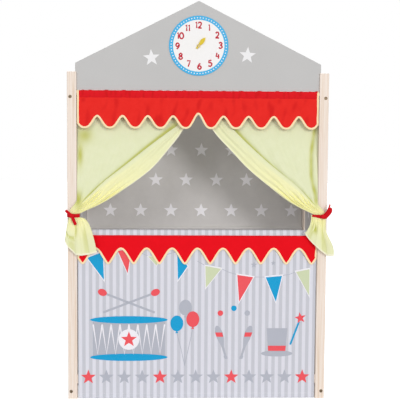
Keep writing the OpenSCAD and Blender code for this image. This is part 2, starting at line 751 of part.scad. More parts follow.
ribbon_gap = 0.4;
ribbon_t = 1;

// Ribbon round the post and the gathered cloth
module ribbon_loop() translate([0, 0, tie_z - ribbon_w / 2]) linear_extrude(ribbon_w) difference() {
    offset(delta = ribbon_t) ribbon_path();
    ribbon_path();
}

module ribbon_path() offset(delta = ribbon_gap) hull() {
    translate([inner_half, 0]) rounded_rect(post_w, post_t, edge_r);
    for (x = [bundle_in + bundle_t / 2, bundle_in + bundle_w - bundle_t / 2])
        translate([x, bundle_y]) circle(d = bundle_t, $fn = 24);
}

// Flat ribbon end through points given as x and z, lying in front of the knot
module ribbon_end(path, width, y) {
    last = len(path) - 1;
    cloth([for (i = [0:last])
        let (d = path[min(last, i + 1)] - path[max(0, i - 1)], n = [-d[1], d[0]] / norm(d) * width / 2)
        [for (s = [-1, 1]) [path[i][0] + s * n[0], y, path[i][1] + s * n[1]]]], ribbon_t);
}

knot_d = 8;
knot_x = inner_half + post_w / 2;
knot_y = bundle_y - bundle_t / 2 - ribbon_gap - knot_d / 2 - 0.2 * ribbon_t;

// Knot in front of the gathered cloth, sunk into the ribbon's loop
module knot() hull() for (x = [-4, 4], z = [-3, 3])
    translate([knot_x + x, knot_y, tie_z + z]) sphere(d = knot_d, $fn = 16);

module curtain_tie_left() color(red) placed() on_side(-1) {
    ribbon_loop();
    knot();
    ribbon_end([[knot_x + 3, tie_z + 5], [knot_x + 10, tie_z + 12], [knot_x + 18, tie_z + 18]], 8, knot_y);
    ribbon_end([[knot_x - 3, tie_z - 4], [knot_x - 9, tie_z - 15], [knot_x - 13, tie_z - 28]], 8, knot_y);
}

module curtain_tie_right() color(red) placed() on_side(1) {
    ribbon_loop();
    knot();
    ribbon_end([[knot_x + 4, tie_z + 3], [knot_x + 14, tie_z + 14], [knot_x + 24, tie_z + 30]], 9, knot_y);
    ribbon_end([[knot_x + 2, tie_z + 6], [knot_x + 12, tie_z + 24], [knot_x + 20, tie_z + 40]],
        5, knot_y + 2);
}

front_post_left();
front_post_right();
rear_post_left();
rear_post_right();
top_side_rail_left();
top_side_rail_right();
bottom_side_rail_left();
bottom_side_rail_right();
front_cross_rail();
rear_top_rail();
rear_bottom_rail();
gable_board();
clock_dial();
clock_hand();
clock_hand_washer();
clock_hand_screw();
clock_hand_nut();
valance_rod();
curtain_rod();
stage_rod();
back_cloth_rod();
valance();
valance_tape();
stage_valance();
stage_valance_tape();
front_cloth();
curtain_left();
curtain_right();
curtain_tail_left();
curtain_tail_right();
curtain_tie_left();
curtain_tie_right();
back_cloth();
side_cloth_left();
side_cloth_right();
front_bolts();
rear_bolts();
cross_rail_bolts();
side_rail_nuts();
cross_rail_nuts();
locating_dowels();
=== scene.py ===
"""Toy puppet theatre: its finishes, cloths and prints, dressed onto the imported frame.

Inside the classes lengths are in millimetres: x to the audience's right, y behind the front of the
posts, z up from the floor. place() turns such a point into metres in the shared frame.
"""
from __future__ import annotations

import json
import logging
import math
from dataclasses import dataclass, field
from enum import Enum
from typing import Callable, Sequence

import bmesh
import bpy
from mathutils import Matrix, Vector
from mathutils.geometry import convex_hull_2d
from mathutils.noise import noise

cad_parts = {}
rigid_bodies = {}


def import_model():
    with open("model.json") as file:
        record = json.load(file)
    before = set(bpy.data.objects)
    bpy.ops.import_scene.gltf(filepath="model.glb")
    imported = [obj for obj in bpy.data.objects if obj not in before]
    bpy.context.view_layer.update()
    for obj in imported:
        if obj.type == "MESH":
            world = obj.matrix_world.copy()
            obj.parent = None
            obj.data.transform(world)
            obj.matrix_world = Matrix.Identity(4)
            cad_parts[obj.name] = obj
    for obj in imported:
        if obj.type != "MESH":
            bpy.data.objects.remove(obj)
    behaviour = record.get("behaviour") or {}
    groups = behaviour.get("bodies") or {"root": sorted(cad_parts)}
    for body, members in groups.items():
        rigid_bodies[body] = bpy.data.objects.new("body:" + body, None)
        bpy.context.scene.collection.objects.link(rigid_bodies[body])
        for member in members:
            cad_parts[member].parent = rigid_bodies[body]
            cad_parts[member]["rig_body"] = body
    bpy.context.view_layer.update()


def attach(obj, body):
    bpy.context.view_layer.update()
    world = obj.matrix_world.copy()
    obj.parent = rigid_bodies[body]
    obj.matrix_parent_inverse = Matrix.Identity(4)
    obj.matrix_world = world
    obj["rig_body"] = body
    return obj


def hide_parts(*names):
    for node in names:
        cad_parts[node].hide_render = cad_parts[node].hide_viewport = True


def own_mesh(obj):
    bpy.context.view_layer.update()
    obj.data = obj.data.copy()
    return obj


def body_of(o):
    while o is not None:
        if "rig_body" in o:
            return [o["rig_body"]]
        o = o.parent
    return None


LOG = logging.getLogger("theatre")
MM = 0.001

# The front of the posts lies at this y of the shared frame, in millimetres
FRONT_Y = -161.75

# The body of the frame, which carries all but the curtains, the clock hand and its screw
ROOT = "root"

# Where a sleeve round a rod has its points, in degrees: 0 is behind the rod and 90 above it
SLEEVE_ANGLES = range(-40, 201, 12)

# A colour Mix node and its sockets, which go by number because their names repeat
MIX = {"data_type": "RGBA"}
SHARE, LOW, HIGH, MIXED = 0, 6, 7, 2

# At a scale of 1 the bands of a Wave node repeat after this length
WAVE_REPEAT = math.tau / 20

# The direction along which the faces of a swept bar are put in order
SORTED_ALONG = Vector((1.0, 0.31, 0.17))

Point = tuple[float, float]


def place(x: float, y: float, z: float) -> Vector:
    """A point in millimetres from the front plane, as metres in the shared frame."""
    return Vector((x, y + FRONT_Y, z)) * MM


def lerp(a: float, b: float, t: float) -> float:
    """Value between a and b at the share t."""
    return a + (b - a) * t


def smooth(t: float) -> float:
    """Soft step from 0 to 1 as t goes from 0 to 1."""
    s = min(1.0, max(0.0, t))
    return s * s * (3 - 2 * s)


def sin_deg(angle: float) -> float:
    """Sine of an angle in degrees."""
    return math.sin(math.radians(angle))


def bezier(a: float, b: float, c: float, d: float, t: float) -> float:
    """Cubic curve from a to d with the handles b and c."""
    s = 1 - t
    return a * s**3 + 3 * b * t * s * s + 3 * c * t * t * s + d * t**3


def along(values: Sequence[float], t: float) -> float:
    """Value at the share t along evenly spaced values, eased between them.

    Args:
        values: The values.
        t: Share of the way along them.

    Returns:
        The value there.
    """
    s = min(1.0, max(0.0, t)) * (len(values) - 1)
    i = min(len(values) - 2, int(s))
    return lerp(values[i], values[i + 1], smooth(s - i))


def steps(low: float, high: float, count: int) -> list[float]:
    """count + 1 evenly spaced values from low to high."""
    return [lerp(low, high, i / count) for i in range(count + 1)]


def linear(colour: str) -> tuple[float, float, float, float]:
    """Linear colour with alpha for an sRGB hex value such as #c2c1c0.

    Args:
        colour: The hex value.

    Returns:
        Linear red, green, blue and alpha.
    """
    parts = [int(colour[i : i + 2], 16) / 255 for i in (1, 3, 5)]
    red, green, blue = (c / 12.92 if c <= 0.04045 else ((c + 0.055) / 1.055) ** 2.4 for c in parts)
    return red, green, blue, 1.0


# Finishes


class Axis(Enum):
    """Direction of the grain of a wooden piece."""

    X = 0
    Y = 1
    Z = 2


class Nodes:
    """A node tree while it is being put together."""

    def __init__(self, tree: bpy.types.NodeTree) -> None:
        """Empties the tree."""
        self.tree = tree
        self.tree.nodes.clear()

    def add(self, kind: str, settings: dict | None = None, inputs: dict | None = None) -> bpy.types.Node:
        """Adds one node.

        Args:
            kind: Type of the node.
            settings: Attributes of the node and their values.
            inputs: Its sockets, by name or number, each with a value or with a socket to link.

        Returns:
            The new node.
        """
        made = self.tree.nodes.new(kind)
        for key, value in (settings or {}).items():
            setattr(made, key, value)
        for key, value in (inputs or {}).items():
            if isinstance(value, bpy.types.NodeSocket):
                self.tree.links.new(value, made.inputs[key])
            else:
                made.inputs[key].default_value = value
        return made


class Surface(Nodes):
    """A material while it is being put together."""

    def __init__(self, name: str) -> None:
        """Starts an empty material of that name.

        Args:
            name: Name of the material.
        """
        self.material = bpy.data.materials.new(name)
        self.material.use_nodes = True
        super().__init__(self.material.node_tree)

    def object_coords(self, scale: tuple[float, float, float] = (1, 1, 1)) -> bpy.types.NodeSocket:
        """Object coordinates in metres, stretched by scale."""
        source = self.add("ShaderNodeTexCoord").outputs["Object"]
        return self.add("ShaderNodeMapping", inputs={"Vector": source, "Scale": scale}).outputs["Vector"]

    def finish(self, inputs: dict) -> bpy.types.Material:
        """Adds the shader with its inputs, links it to the output and returns the material.

        Args:
            inputs: The shader's sockets, each with a value or a socket to link.

        Returns:
            The finished material.
        """
        shader = self.add("ShaderNodeBsdfPrincipled", inputs=inputs)
        self.add("ShaderNodeOutputMaterial", inputs={"Surface": shader.outputs["BSDF"]})
        return self.material


@dataclass(frozen=True)
class Pine:
    """Planed pine without varnish: pale early wood with faint darker lines of late wood."""

    name: str
    grain: Axis
    pale: str = "#f2e4d8"
    dark: str = "#e3ccb6"
    line_mm: float = 4.0
    length_mm: float = 220.0
    fibres_per_line: float = 4.0
    fibre_depth_mm: float = 0.08

    def material(self) -> bpy.types.Material:
        """Builds the wood: long streaks along the grain for colour, finer ones for the bump.

        Returns:
            The material.
        """
        made = Surface(self.name)
        streak = [1 / (self.line_mm * MM)] * 3
        streak[self.grain.value] = 1 / (self.length_mm * MM)
        rings = made.add("ShaderNodeTexNoise", inputs={
            "Vector": made.object_coords(tuple(streak)), "Scale": 1.0, "Detail": 4.0, "Roughness": 0.6,
            "Distortion": 0.5})
        share = made.add("ShaderNodeMapRange", {"interpolation_type": "SMOOTHSTEP"}, {
            "Value": rings.outputs["Fac"], "From Min": 0.4, "From Max": 0.75})
        colour = made.add("ShaderNodeMix", MIX, {
            SHARE: share.outputs[0], LOW: linear(self.pale), HIGH: linear(self.dark)})
        fine = tuple(self.fibres_per_line * s for s in streak)
        fibre = made.add("ShaderNodeTexNoise", inputs={
            "Vector": made.object_coords(fine), "Scale": 1.0, "Detail": 2.0})
        rough = made.add("ShaderNodeMapRange", inputs={
            "Value": fibre.outputs["Fac"], "To Min": 0.42, "To Max": 0.6})
        grain = made.add("ShaderNodeBump", inputs={
            "Height": fibre.outputs["Fac"], "Distance": self.fibre_depth_mm * MM, "Strength": 0.5})
        return made.finish({
            "Base Color": colour.outputs[MIXED], "Roughness": rough.outputs[0], "IOR": 1.5,
            "Normal": grain.outputs["Normal"]})


@dataclass(frozen=True)
class Lacquer:
    """Sprayed lacquer on a sanded board: an even satin skin with a very shallow orange peel."""

    name: str
    colour: str
    deep: str
    roughness: float = 0.6
    tone_mm: float = 111.1
    peel_mm: float = 3.0
    peel_depth_mm: float = 0.05

    def material(self) -> bpy.types.Material:
        """Builds the lacquer with a slight change of tone over the board.

        Returns:
            The material.
        """
        made = Surface(self.name)
        tone = made.add("ShaderNodeTexNoise", inputs={
            "Vector": made.object_coords(), "Scale": 1 / (self.tone_mm * MM), "Detail": 3.0})
        colour = made.add("ShaderNodeMix", MIX, {
            SHARE: tone.outputs["Fac"], LOW: linear(self.colour), HIGH: linear(self.deep)})
        peel = made.add("ShaderNodeTexNoise", inputs={
            "Vector": made.object_coords(), "Scale": 1 / (self.peel_mm * MM), "Detail": 1.0})
        skin = made.add("ShaderNodeBump", inputs={
            "Height": peel.outputs["Fac"], "Distance": self.peel_depth_mm * MM, "Strength": 0.6})
        return made.finish({
            "Base Color": colour.outputs[MIXED], "Roughness": self.roughness, "IOR": 1.5,
            "Normal": skin.outputs["Normal"]})


@dataclass(frozen=True)
class DialPrint:
    """Printed paper under film: a white face inside a blue ring, both with a light gloss."""

    name: str
    centre_z: float
    face_r: float = 82.0
    edge_mm: float = 0.4
    white: str = "#f4f2f1"
    blue: str = "#30aee2"
    fibre_mm: float = 2.0
    fibre_depth_mm: float = 0.02

    def material(self) -> bpy.types.Material:
        """Builds the print; its ring is every point farther from the dial's centre than face_r.

        Returns:
            The material.
        """
        made = Surface(self.name)
        source = made.add("ShaderNodeTexCoord").outputs["Object"]
        centred = made.add("ShaderNodeMapping", {"vector_type": "POINT"}, {
            "Vector": source, "Location": (0, 0, -self.centre_z * MM), "Scale": (1, 0, 1)})
        radius = made.add("ShaderNodeVectorMath", {"operation": "LENGTH"}, {0: centred.outputs[0]})
        ring = made.add("ShaderNodeMapRange", inputs={
            "Value": radius.outputs["Value"], "From Min": (self.face_r - self.edge_mm) * MM,
            "From Max": (self.face_r + self.edge_mm) * MM})
        colour = made.add("ShaderNodeMix", MIX, {
            SHARE: ring.outputs[0], LOW: linear(self.white), HIGH: linear(self.blue)})
        fibre = made.add("ShaderNodeTexNoise", inputs={
            "Vector": made.object_coords(), "Scale": 1 / (self.fibre_mm * MM)})
        paper = made.add("ShaderNodeBump", inputs={
            "Height": fibre.outputs["Fac"], "Distance": self.fibre_depth_mm * MM, "Strength": 0.5})
        return made.finish({
            "Base Color": colour.outputs[MIXED], "Roughness": 0.38, "IOR": 1.5,
            "Normal": paper.outputs["Normal"]})


@dataclass(frozen=True)
class Metal:
    """Plated steel, brushed or tumbled: plain metal with fine uneven roughness.

    The blotches of its plating are drawn mottle_mm wide, coarser than real ones, so that they show.
    """

    name: str
    colour: str
    roughness: float
    mottle_mm: float = 1.1111
    mottle_depth_mm: float = 0.02

    def material(self) -> bpy.types.Material:
        """Builds the metal with mottled plating.

        Returns:
            The material.
        """
        made = Surface(self.name)
        mottle = made.add("ShaderNodeTexNoise", inputs={
            "Vector": made.object_coords(), "Scale": 1 / (self.mottle_mm * MM), "Detail": 2.0})
        rough = made.add("ShaderNodeMapRange", inputs={
            "Value": mottle.outputs["Fac"], "To Min": self.roughness - 0.08,
            "To Max": self.roughness + 0.12})
        plating = made.add("ShaderNodeBump", inputs={
            "Height": mottle.outputs["Fac"], "Distance": self.mottle_depth_mm * MM, "Strength": 0.4})
        return made.finish({
            "Base Color": linear(self.colour), "Metallic": 1.0, "Roughness": rough.outputs[0],
            "Normal": plating.outputs["Normal"]})


@dataclass(frozen=True)
class Stripes:
    """Stripes printed along a cloth: the colour of the dark ones, their repeat and their shift."""

    colour: str
    repeat_mm: float
    shift_mm: float


@dataclass(frozen=True)
class Cotton:
    """Plain-woven cotton, dyed or printed: matt, softly mottled, with a low sheen on its fuzz.

    The threads are drawn thread_mm apart, coarser than the real 0.4 mm, so that the weave shows.
    The first double_mm from the cloth's top lie double, as in a sleeve, and take the colour double:
    painted shade for the less light that comes through them. shades are the colours of painted light on
    gathers, painted shade in creases and a hem painted paler, by the mesh's own attribute.
    """

    name: str
    colour: str
    deep: str
    thread_mm: float = 1.6
    weave_depth_mm: float = 0.12
    mottle_mm: float = 26.316
    sheen: float = 0.04
    stripes: Stripes | None = None
    double_mm: float = 0.0
    double: str = "#000000"
    shades: tuple[str, ...] = ()

    def material(self) -> bpy.types.Material:
        """Builds the weave on the cloth's own UV map, which is in metres.

        Returns:
            The material.
        """
        made = Surface(self.name)
        source = made.add("ShaderNodeUVMap", {"uv_map": "cloth"}).outputs["UV"]
        threads = [made.add("ShaderNodeTexWave", {"bands_direction": way}, {
            "Vector": source, "Scale": WAVE_REPEAT / (self.thread_mm * MM), "Distortion": 0.6,
            "Detail": 1.0}).outputs["Fac"] for way in ("X", "Y")]
        weave = made.add("ShaderNodeMath", {"operation": "MAXIMUM"}, {0: threads[0], 1: threads[1]})
        mottle = made.add("ShaderNodeTexNoise", inputs={
            "Vector": made.object_coords(), "Scale": 1 / (self.mottle_mm * MM), "Detail": 5.0,
            "Roughness": 0.65})
        depth = made.add("ShaderNodeMath", {"operation": "MULTIPLY_ADD"}, {
            0: weave.outputs[0], 1: -0.35, 2: mottle.outputs["Fac"]})
        share = made.add("ShaderNodeMapRange", inputs={
            "Value": depth.outputs[0], "From Min": 0.05, "From Max": 0.7, "To Min": 1.0, "To Max": 0.0})
        colour = made.add("ShaderNodeMix", MIX, {
            SHARE: share.outputs[0], LOW: linear(self.colour), HIGH: linear(self.deep)}).outputs[MIXED]
        if self.stripes:
            colour = self._striped(made, source, colour)
        if self.double_mm:
            colour = self._doubled(made, source, colour)
        if self.shades:
            colour = self._shaded(made, colour)
        threaded = made.add("ShaderNodeBump", inputs={
            "Height": weave.outputs[0], "Distance": self.weave_depth_mm * MM, "Strength": 0.5})
        return made.finish({
            "Base Color": colour, "Roughness": 0.85, "IOR": 1.45, "Specular IOR Level": 0.15,
            "Sheen Weight": self.sheen, "Sheen Roughness": 0.5, "Normal": threaded.outputs["Normal"]})

    def _striped(self, made: Surface, source: bpy.types.NodeSocket,
                 colour: bpy.types.NodeSocket) -> bpy.types.NodeSocket:
        """Lays the stripes over the cloth's colour.

        Args:
            made: The cotton's nodes.
            source: The cloth's UV map.
            colour: The colour so far.

        Returns:
            The striped colour.
        """
        across = made.add("ShaderNodeSeparateXYZ", inputs={0: source}).outputs["X"]
        phase = made.add("ShaderNodeMath", {"operation": "MULTIPLY_ADD"}, {
            0: across, 1: math.tau / (self.stripes.repeat_mm * MM),
            2: math.tau * self.stripes.shift_mm / self.stripes.repeat_mm})
        wave = made.add("ShaderNodeMath", {"operation": "SINE"}, {0: phase.outputs[0]})
        edge = made.add("ShaderNodeMapRange", inputs={
            "Value": wave.outputs[0], "From Min": -0.2, "From Max": 0.2})
        return made.add("ShaderNodeMix", MIX, {
            SHARE: edge.outputs[0], LOW: colour, HIGH: linear(self.stripes.colour)}).outputs[MIXED]

    def _doubled(self, made: Surface, source: bpy.types.NodeSocket,
                 colour: bpy.types.NodeSocket) -> bpy.types.NodeSocket:
        """Deepens the colour where the cloth is double, because less light comes through it.

        Args:
            made: The cotton's nodes.
            source: The cloth's UV map.
            colour: The colour so far.

        Returns:
            The colour with its double part.
        """
        down = made.add("ShaderNodeSeparateXYZ", inputs={0: source}).outputs["Y"]
        inside = made.add("ShaderNodeMath", {"operation": "LESS_THAN"}, {0: down, 1: self.double_mm * MM})
        return made.add("ShaderNodeMix", MIX, {
            SHARE: inside.outputs[0], LOW: colour, HIGH: linear(self.double)}).outputs[MIXED]

    def _shaded(self, made: Surface, colour: bpy.types.NodeSocket) -> bpy.types.NodeSocket:
        """Paints light on the gathers, shade in the creases and the hems paler, as the mesh marks in
        green, red and blue.

        Args:
            made: The cotton's nodes.
            colour: The colour so far.

        Returns:
            The shaded colour.
        """
        marks = made.add("ShaderNodeAttribute", {"attribute_name": "shade"}).outputs["Color"]
        split = made.add("ShaderNodeSeparateColor", inputs={0: marks})
        for mark, shade in zip(("Green", "Red", "Blue"), self.shades):
            colour = made.add("ShaderNodeMix", MIX, {
                SHARE: split.outputs[mark], LOW: colour, HIGH: linear(shade)}).outputs[MIXED]
        return colour


@dataclass(frozen=True)
class Ink:
    """Pigment printed on cotton or board: flat and matt, broken up slightly by the threads under it."""

    name: str
    colour: str
    roughness: float = 0.8
    grain_mm: float = 2.0
    grain_depth_mm: float = 0.03

    def material(self) -> bpy.types.Material:
        """Builds the ink on Object coordinates.

        Returns:
            The material.
        """
        made = Surface(self.name)
        grain = made.add("ShaderNodeTexNoise", inputs={
            "Vector": made.object_coords(), "Scale": 1 / (self.grain_mm * MM), "Detail": 2.0})
        share = made.add("ShaderNodeMapRange", inputs={
            "Value": grain.outputs["Fac"], "From Min": 0.35, "From Max": 0.8, "To Max": 0.04})
        colour = made.add("ShaderNodeMix", MIX, {
            SHARE: share.outputs[0], LOW: linear(self.colour), HIGH: linear("#ffffff")})
        film = made.add("ShaderNodeBump", inputs={
            "Height": grain.outputs["Fac"], "Distance": self.grain_depth_mm * MM, "Strength": 0.5})
        return made.finish({
            "Base Color": colour.outputs[MIXED], "Roughness": self.roughness, "IOR": 1.45,
            "Specular IOR Level": 0.2, "Normal": film.outputs["Normal"]})


class Palette:
    """Every finish of the theatre, each made once and handed out by its key."""

    def __init__(self) -> None:
        """Makes all the materials."""
        finishes = {
            "pine_x": Pine("planed_pine_along_x", Axis.X),
            "pine_y": Pine("planed_pine_along_y", Axis.Y),
            "pine_z": Pine("planed_pine_along_z", Axis.Z),
            "board": Lacquer("lacquered_board", "#c4c3c2", "#bebdbc"),
            "hand": Lacquer("lacquered_beech_hand", "#e6ca12", "#d9bb0e", 0.5),
            "dial": DialPrint("printed_dial", 1148.0),
            "zinc": Metal("yellow_passivated_steel", "#b5a472", 0.42),
            "bronze": Metal("bronzed_steel", "#7f6f5b", 0.42),
            # Red valance: its sleeve is painted deeper where it lies double, and its creases get a painted
            # darker red as shade
            "red": Cotton("red_cotton", "#f1302a", "#e92721", double_mm=62, double="#e21822",
                          shades=("#f1302a", "#cf1418", "#f1302a")),
            "stage_red": Cotton("red_cotton_of_stage", "#f00a1c", "#e80718"),
            "tape": Cotton("cream_cotton_tape", "#ffe9bf", "#fbe0ac", thread_mm=1.2),
            # Lime curtains: painted yellow light on gathers, painted olive shade in creases and tucks, and
            # a hem painted paler
            "lime": Cotton("lime_cotton", "#ecefcc", "#e5e9c0", shades=("#f9f6bc", "#c0c35c", "#fbf8dc")),
            "striped": Cotton("striped_cotton", "#e2e2eb", "#dedee7",
                              stripes=Stripes("#c9cad2", 22.1, 9.0)),
            "grey": Cotton("grey_cotton", "#dbd7d5", "#d3cfcd"),
            "ribbon": Cotton("red_cotton_ribbon", "#dc1420", "#c80e1a", thread_mm=1.0),
            "thread_red": Ink("red_sewing_thread", "#c8141e"),
            "thread_white": Ink("white_sewing_thread", "#f2f0f4"),
            "ink_white": Ink("white_print", "#f2f0f6"),
            "ink_grey": Ink("grey_print", "#b4b7c2"),
            "ink_red": Ink("red_print", "#f0545c"),
            "ink_blue": Ink("blue_print", "#009fd4"),
            "ink_green": Ink("green_print", "#d0d9b4"),
            "ink_star": Ink("pale_star_print", "#fbf8fc"),
            "ink_numeral": Ink("red_numeral_print", "#c41230", 0.4),
            "ink_dot": Ink("white_dot_print", "#f4f6fa", 0.4),
            "paint_star": Ink("white_screen_print", "#f0eff0", 0.5),
        }
        self._made = {key: finish.material() for key, finish in finishes.items()}

    def __getitem__(self, key: str) -> bpy.types.Material:
        """The material of that key."""
        return self._made[key]


# Pieces


def add_piece(name: str, mesh: bmesh.types.BMesh, material: bpy.types.Material,
              flat: bool = False) -> bpy.types.Object:
    """Turns a finished bmesh into an object at the origin.

    Args:
        name: Name of the piece.
        mesh: The shape, in place, in metres; it is freed here.
        material: Its finish.
        flat: True where its faces meet at plain corners.

    Returns:
        The new object.
    """
    data = bpy.data.meshes.new(name)
    mesh.to_mesh(data)
    mesh.free()
    data.materials.append(material)
    if flat:
        data.shade_flat()
    else:
        data.shade_smooth()
    made = bpy.data.objects.new(name, data)
    bpy.context.scene.collection.objects.link(made)
    return made


def thicken(piece: bpy.types.Object, thick_mm: float, side: float = 0.0) -> bpy.types.Object:
    """Gives a sheet its thickness.

    Args:
        piece: The sheet.
        thick_mm: Its thickness.
        side: The way it grows: 0 is both, -1 inwards and 1 outwards.

    Returns:
        The same piece.
    """
    wall = piece.modifiers.new("thickness", "SOLIDIFY")
    wall.thickness = thick_mm * MM
    wall.offset = side
    return piece


def grid_cloth(name: str, columns: Sequence[Sequence[Vector]], material: bpy.types.Material,
               thick_mm: float,
               shades: Sequence[Sequence[tuple[float, float, float]]] | None = None) -> bpy.types.Object:
    """Sheet of cloth through a grid of points.

    Args:
        name: Name of the piece.
        columns: The points, as columns from left to right, each running down the cloth.
        material: Its finish.
        thick_mm: Thickness of the cloth.
        shades: For each point how much painted shade of creases, painted light of gathers and paler hem it
            gets, if the finish shows that.

    Returns:
        The cloth, with a UV map of its own lengths in metres.
    """
    last, rows = len(columns) - 1, len(columns[0]) - 1
    middle = rows // 2
    across = [0.0]
    for left, right in zip(columns, columns[1:]):
        across.append(across[-1] + (right[middle] - left[middle]).length)
    down = []
    for column in columns:
        lengths = [0.0]
        for upper, lower in zip(column, column[1:]):
            lengths.append(lengths[-1] + (lower - upper).length)
        down.append(lengths)
    mesh = bmesh.new()
    bmesh.ops.create_grid(mesh, x_segments=last, y_segments=rows, size=0.5)
    layer = mesh.loops.layers.uv.new("cloth")
    marks = mesh.verts.layers.float_color.new("shade")
    for corner in mesh.verts:
        i, j = round((corner.co.x + 0.5) * last), round((0.5 - corner.co.y) * rows)
        for loop in corner.link_loops:
            loop[layer].uv = (across[i], down[i][j])
        corner[marks] = (*shades[i][j], 1.0) if shades else (0.0, 0.0, 0.0, 1.0)
        corner.co = columns[i][j]
    return thicken(add_piece(name, mesh, material), thick_mm)


def sweep(mesh: bmesh.types.BMesh, rings: Sequence[Sequence[Vector]]) -> None:
    """Adds a closed bar through rings of points, each extruded from the one before.

    Args:
        mesh: The mesh that the bar is added to.
        rings: Its cross-sections in order, all with as many points.
    """
    count = len(rings[0])
    first = bmesh.ops.create_circle(mesh, segments=count, radius=MM)["verts"]
    for corner, spot in zip(first, rings[0]):
        corner.co = spot
    ordered, start = list(first), list(first)
    for ring in rings[1:]:
        edges = [mesh.edges.get((ordered[i], ordered[(i + 1) % count])) for i in range(count)]
        made = {g for g in bmesh.ops.extrude_edge_only(mesh, edges=edges)["geom"]
                if isinstance(g, bmesh.types.BMVert)}
        ordered = [next(e.other_vert(v) for e in v.link_edges if e.other_vert(v) in made)
                   for v in ordered]
        for corner, spot in zip(ordered, ring):
            corner.co = spot
    for end in (start, ordered):
        bmesh.ops.contextual_create(mesh, geom=end)
    bmesh.ops.recalc_face_normals(mesh, faces=mesh.faces)
    # Extruding leaves the faces in an order that differs from run to run
    mesh.faces.sort(key=lambda face: face.calc_center_median().dot(SORTED_ALONG))


def stitch_row(name: str, path: Sequence[Vector], material: bpy.types.Material,
               pitch_mm: float = 4.5, long_mm: float = 3.0, thick_mm: float = 0.8) -> bpy.types.Object:
    """Row of machine stitches along a path; each is a small oval drawn thicker than the real thread.

    Args:
        name: Name of the piece.
        path: Points in metres on the cloth's surface.
        material: Finish of the thread.
        pitch_mm: Distance from stitch to stitch.
        long_mm: Length of a stitch.
        thick_mm: Thickness of the drawn thread.

    Returns:
        The row as one piece.
    """
    mesh = bmesh.new()
    size = Matrix.Diagonal((long_mm / 2 * MM, thick_mm / 2 * MM, thick_mm / 2 * MM, 1))
    carried = 0.0
    for a, b in zip(path, path[1:]):
        way = b - a
        turn = way.to_track_quat("X", "Z").to_matrix().to_4x4()
        while carried < way.length:
            spot = Matrix.Translation(a + way * (carried / way.length))
            bmesh.ops.create_icosphere(mesh, subdivisions=1, radius=1.0, matrix=spot @ turn @ size)
            carried += pitch_mm * MM
        carried -= way.length
    return add_piece(name, mesh, material)


def finished_copy(node: str, material: bpy.types.Material, bevel_mm: float,
                  body: str = ROOT, flat_deg: float = 1.0, sharp_deg: float = 40.0,
                  crisp_deg: float = 50.0) -> bpy.types.Object:
    """Copy of a CAD node with its edges broken, which stands for that node.

    Args:
        node: The CAD node to copy.
        material: Its finish.
        bevel_mm: Width of the broken edges.
        body: The body that it rides on.
        flat_deg: Faces that meet at less than this become one.
        sharp_deg: Edges that turn by more than this are broken.
        crisp_deg: Edges that still turn by more than this are shaded as corners.

    Returns:
        The finished piece.
    """
    source = bpy.data.objects[node]
    mesh = bmesh.new()
    mesh.from_mesh(source.data)
    bmesh.ops.remove_doubles(mesh, verts=mesh.verts, dist=1e-6)
    bmesh.ops.dissolve_limit(mesh, angle_limit=math.radians(flat_deg), verts=mesh.verts,
                             edges=mesh.edges)
    limit = math.radians(sharp_deg)
    sharp = [e for e in mesh.edges if len(e.link_faces) == 2 and e.calc_face_angle(0) > limit]
    bmesh.ops.bevel(mesh, geom=sharp, offset=bevel_mm * MM, offset_type="OFFSET", segments=2,
                    profile=0.5, affect="EDGES", clamp_overlap=True, material=-1)
    made = add_piece(node + "_finished", mesh, material)
    made.data.set_sharp_from_angle(angle=math.radians(crisp_deg))
    weighted = made.modifiers.new("shading", "WEIGHTED_NORMAL")
    weighted.keep_sharp = True
    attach(made, body)
    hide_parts(node)
    LOG.info("piece %s", made.name)
    return made


def on_root(piece: bpy.types.Object, *nodes: str) -> bpy.types.Object:
    """Puts a piece on the frame's body, in place of the given nodes, and reports it.

    Args:
        piece: The piece.
        nodes: The CAD nodes that it replaces.

    Returns:
        The same piece.
    """
    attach(piece, ROOT)
    if nodes:
        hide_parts(*nodes)
    LOG.info("piece %s", piece.name)
    return piece


# Sub-assemblies


@dataclass(frozen=True)
class Lamp:
    """One far, soft lamp: its turn to the right, height and width in degrees, and its power."""

    turn: float
    height: float
    power: float
    wide: float

    def build(self, name: str) -> None:
        """Adds the lamp, which shines on the theatre.

        Args:
            name: Name of the lamp.
        """
        data = bpy.data.lights.new(name, "SUN")
        data.energy, data.angle = self.power, math.radians(self.wide)
        lamp = bpy.data.objects.new(name, data)
        across, up = math.radians(self.turn), math.radians(self.height)
        level = math.cos(up)
        towards = Vector((-math.sin(across) * level, math.cos(across) * level, -math.sin(up)))
        lamp.matrix_world = towards.to_track_quat("-Z", "Y").to_matrix().to_4x4()
        bpy.context.scene.collection.objects.link(lamp)


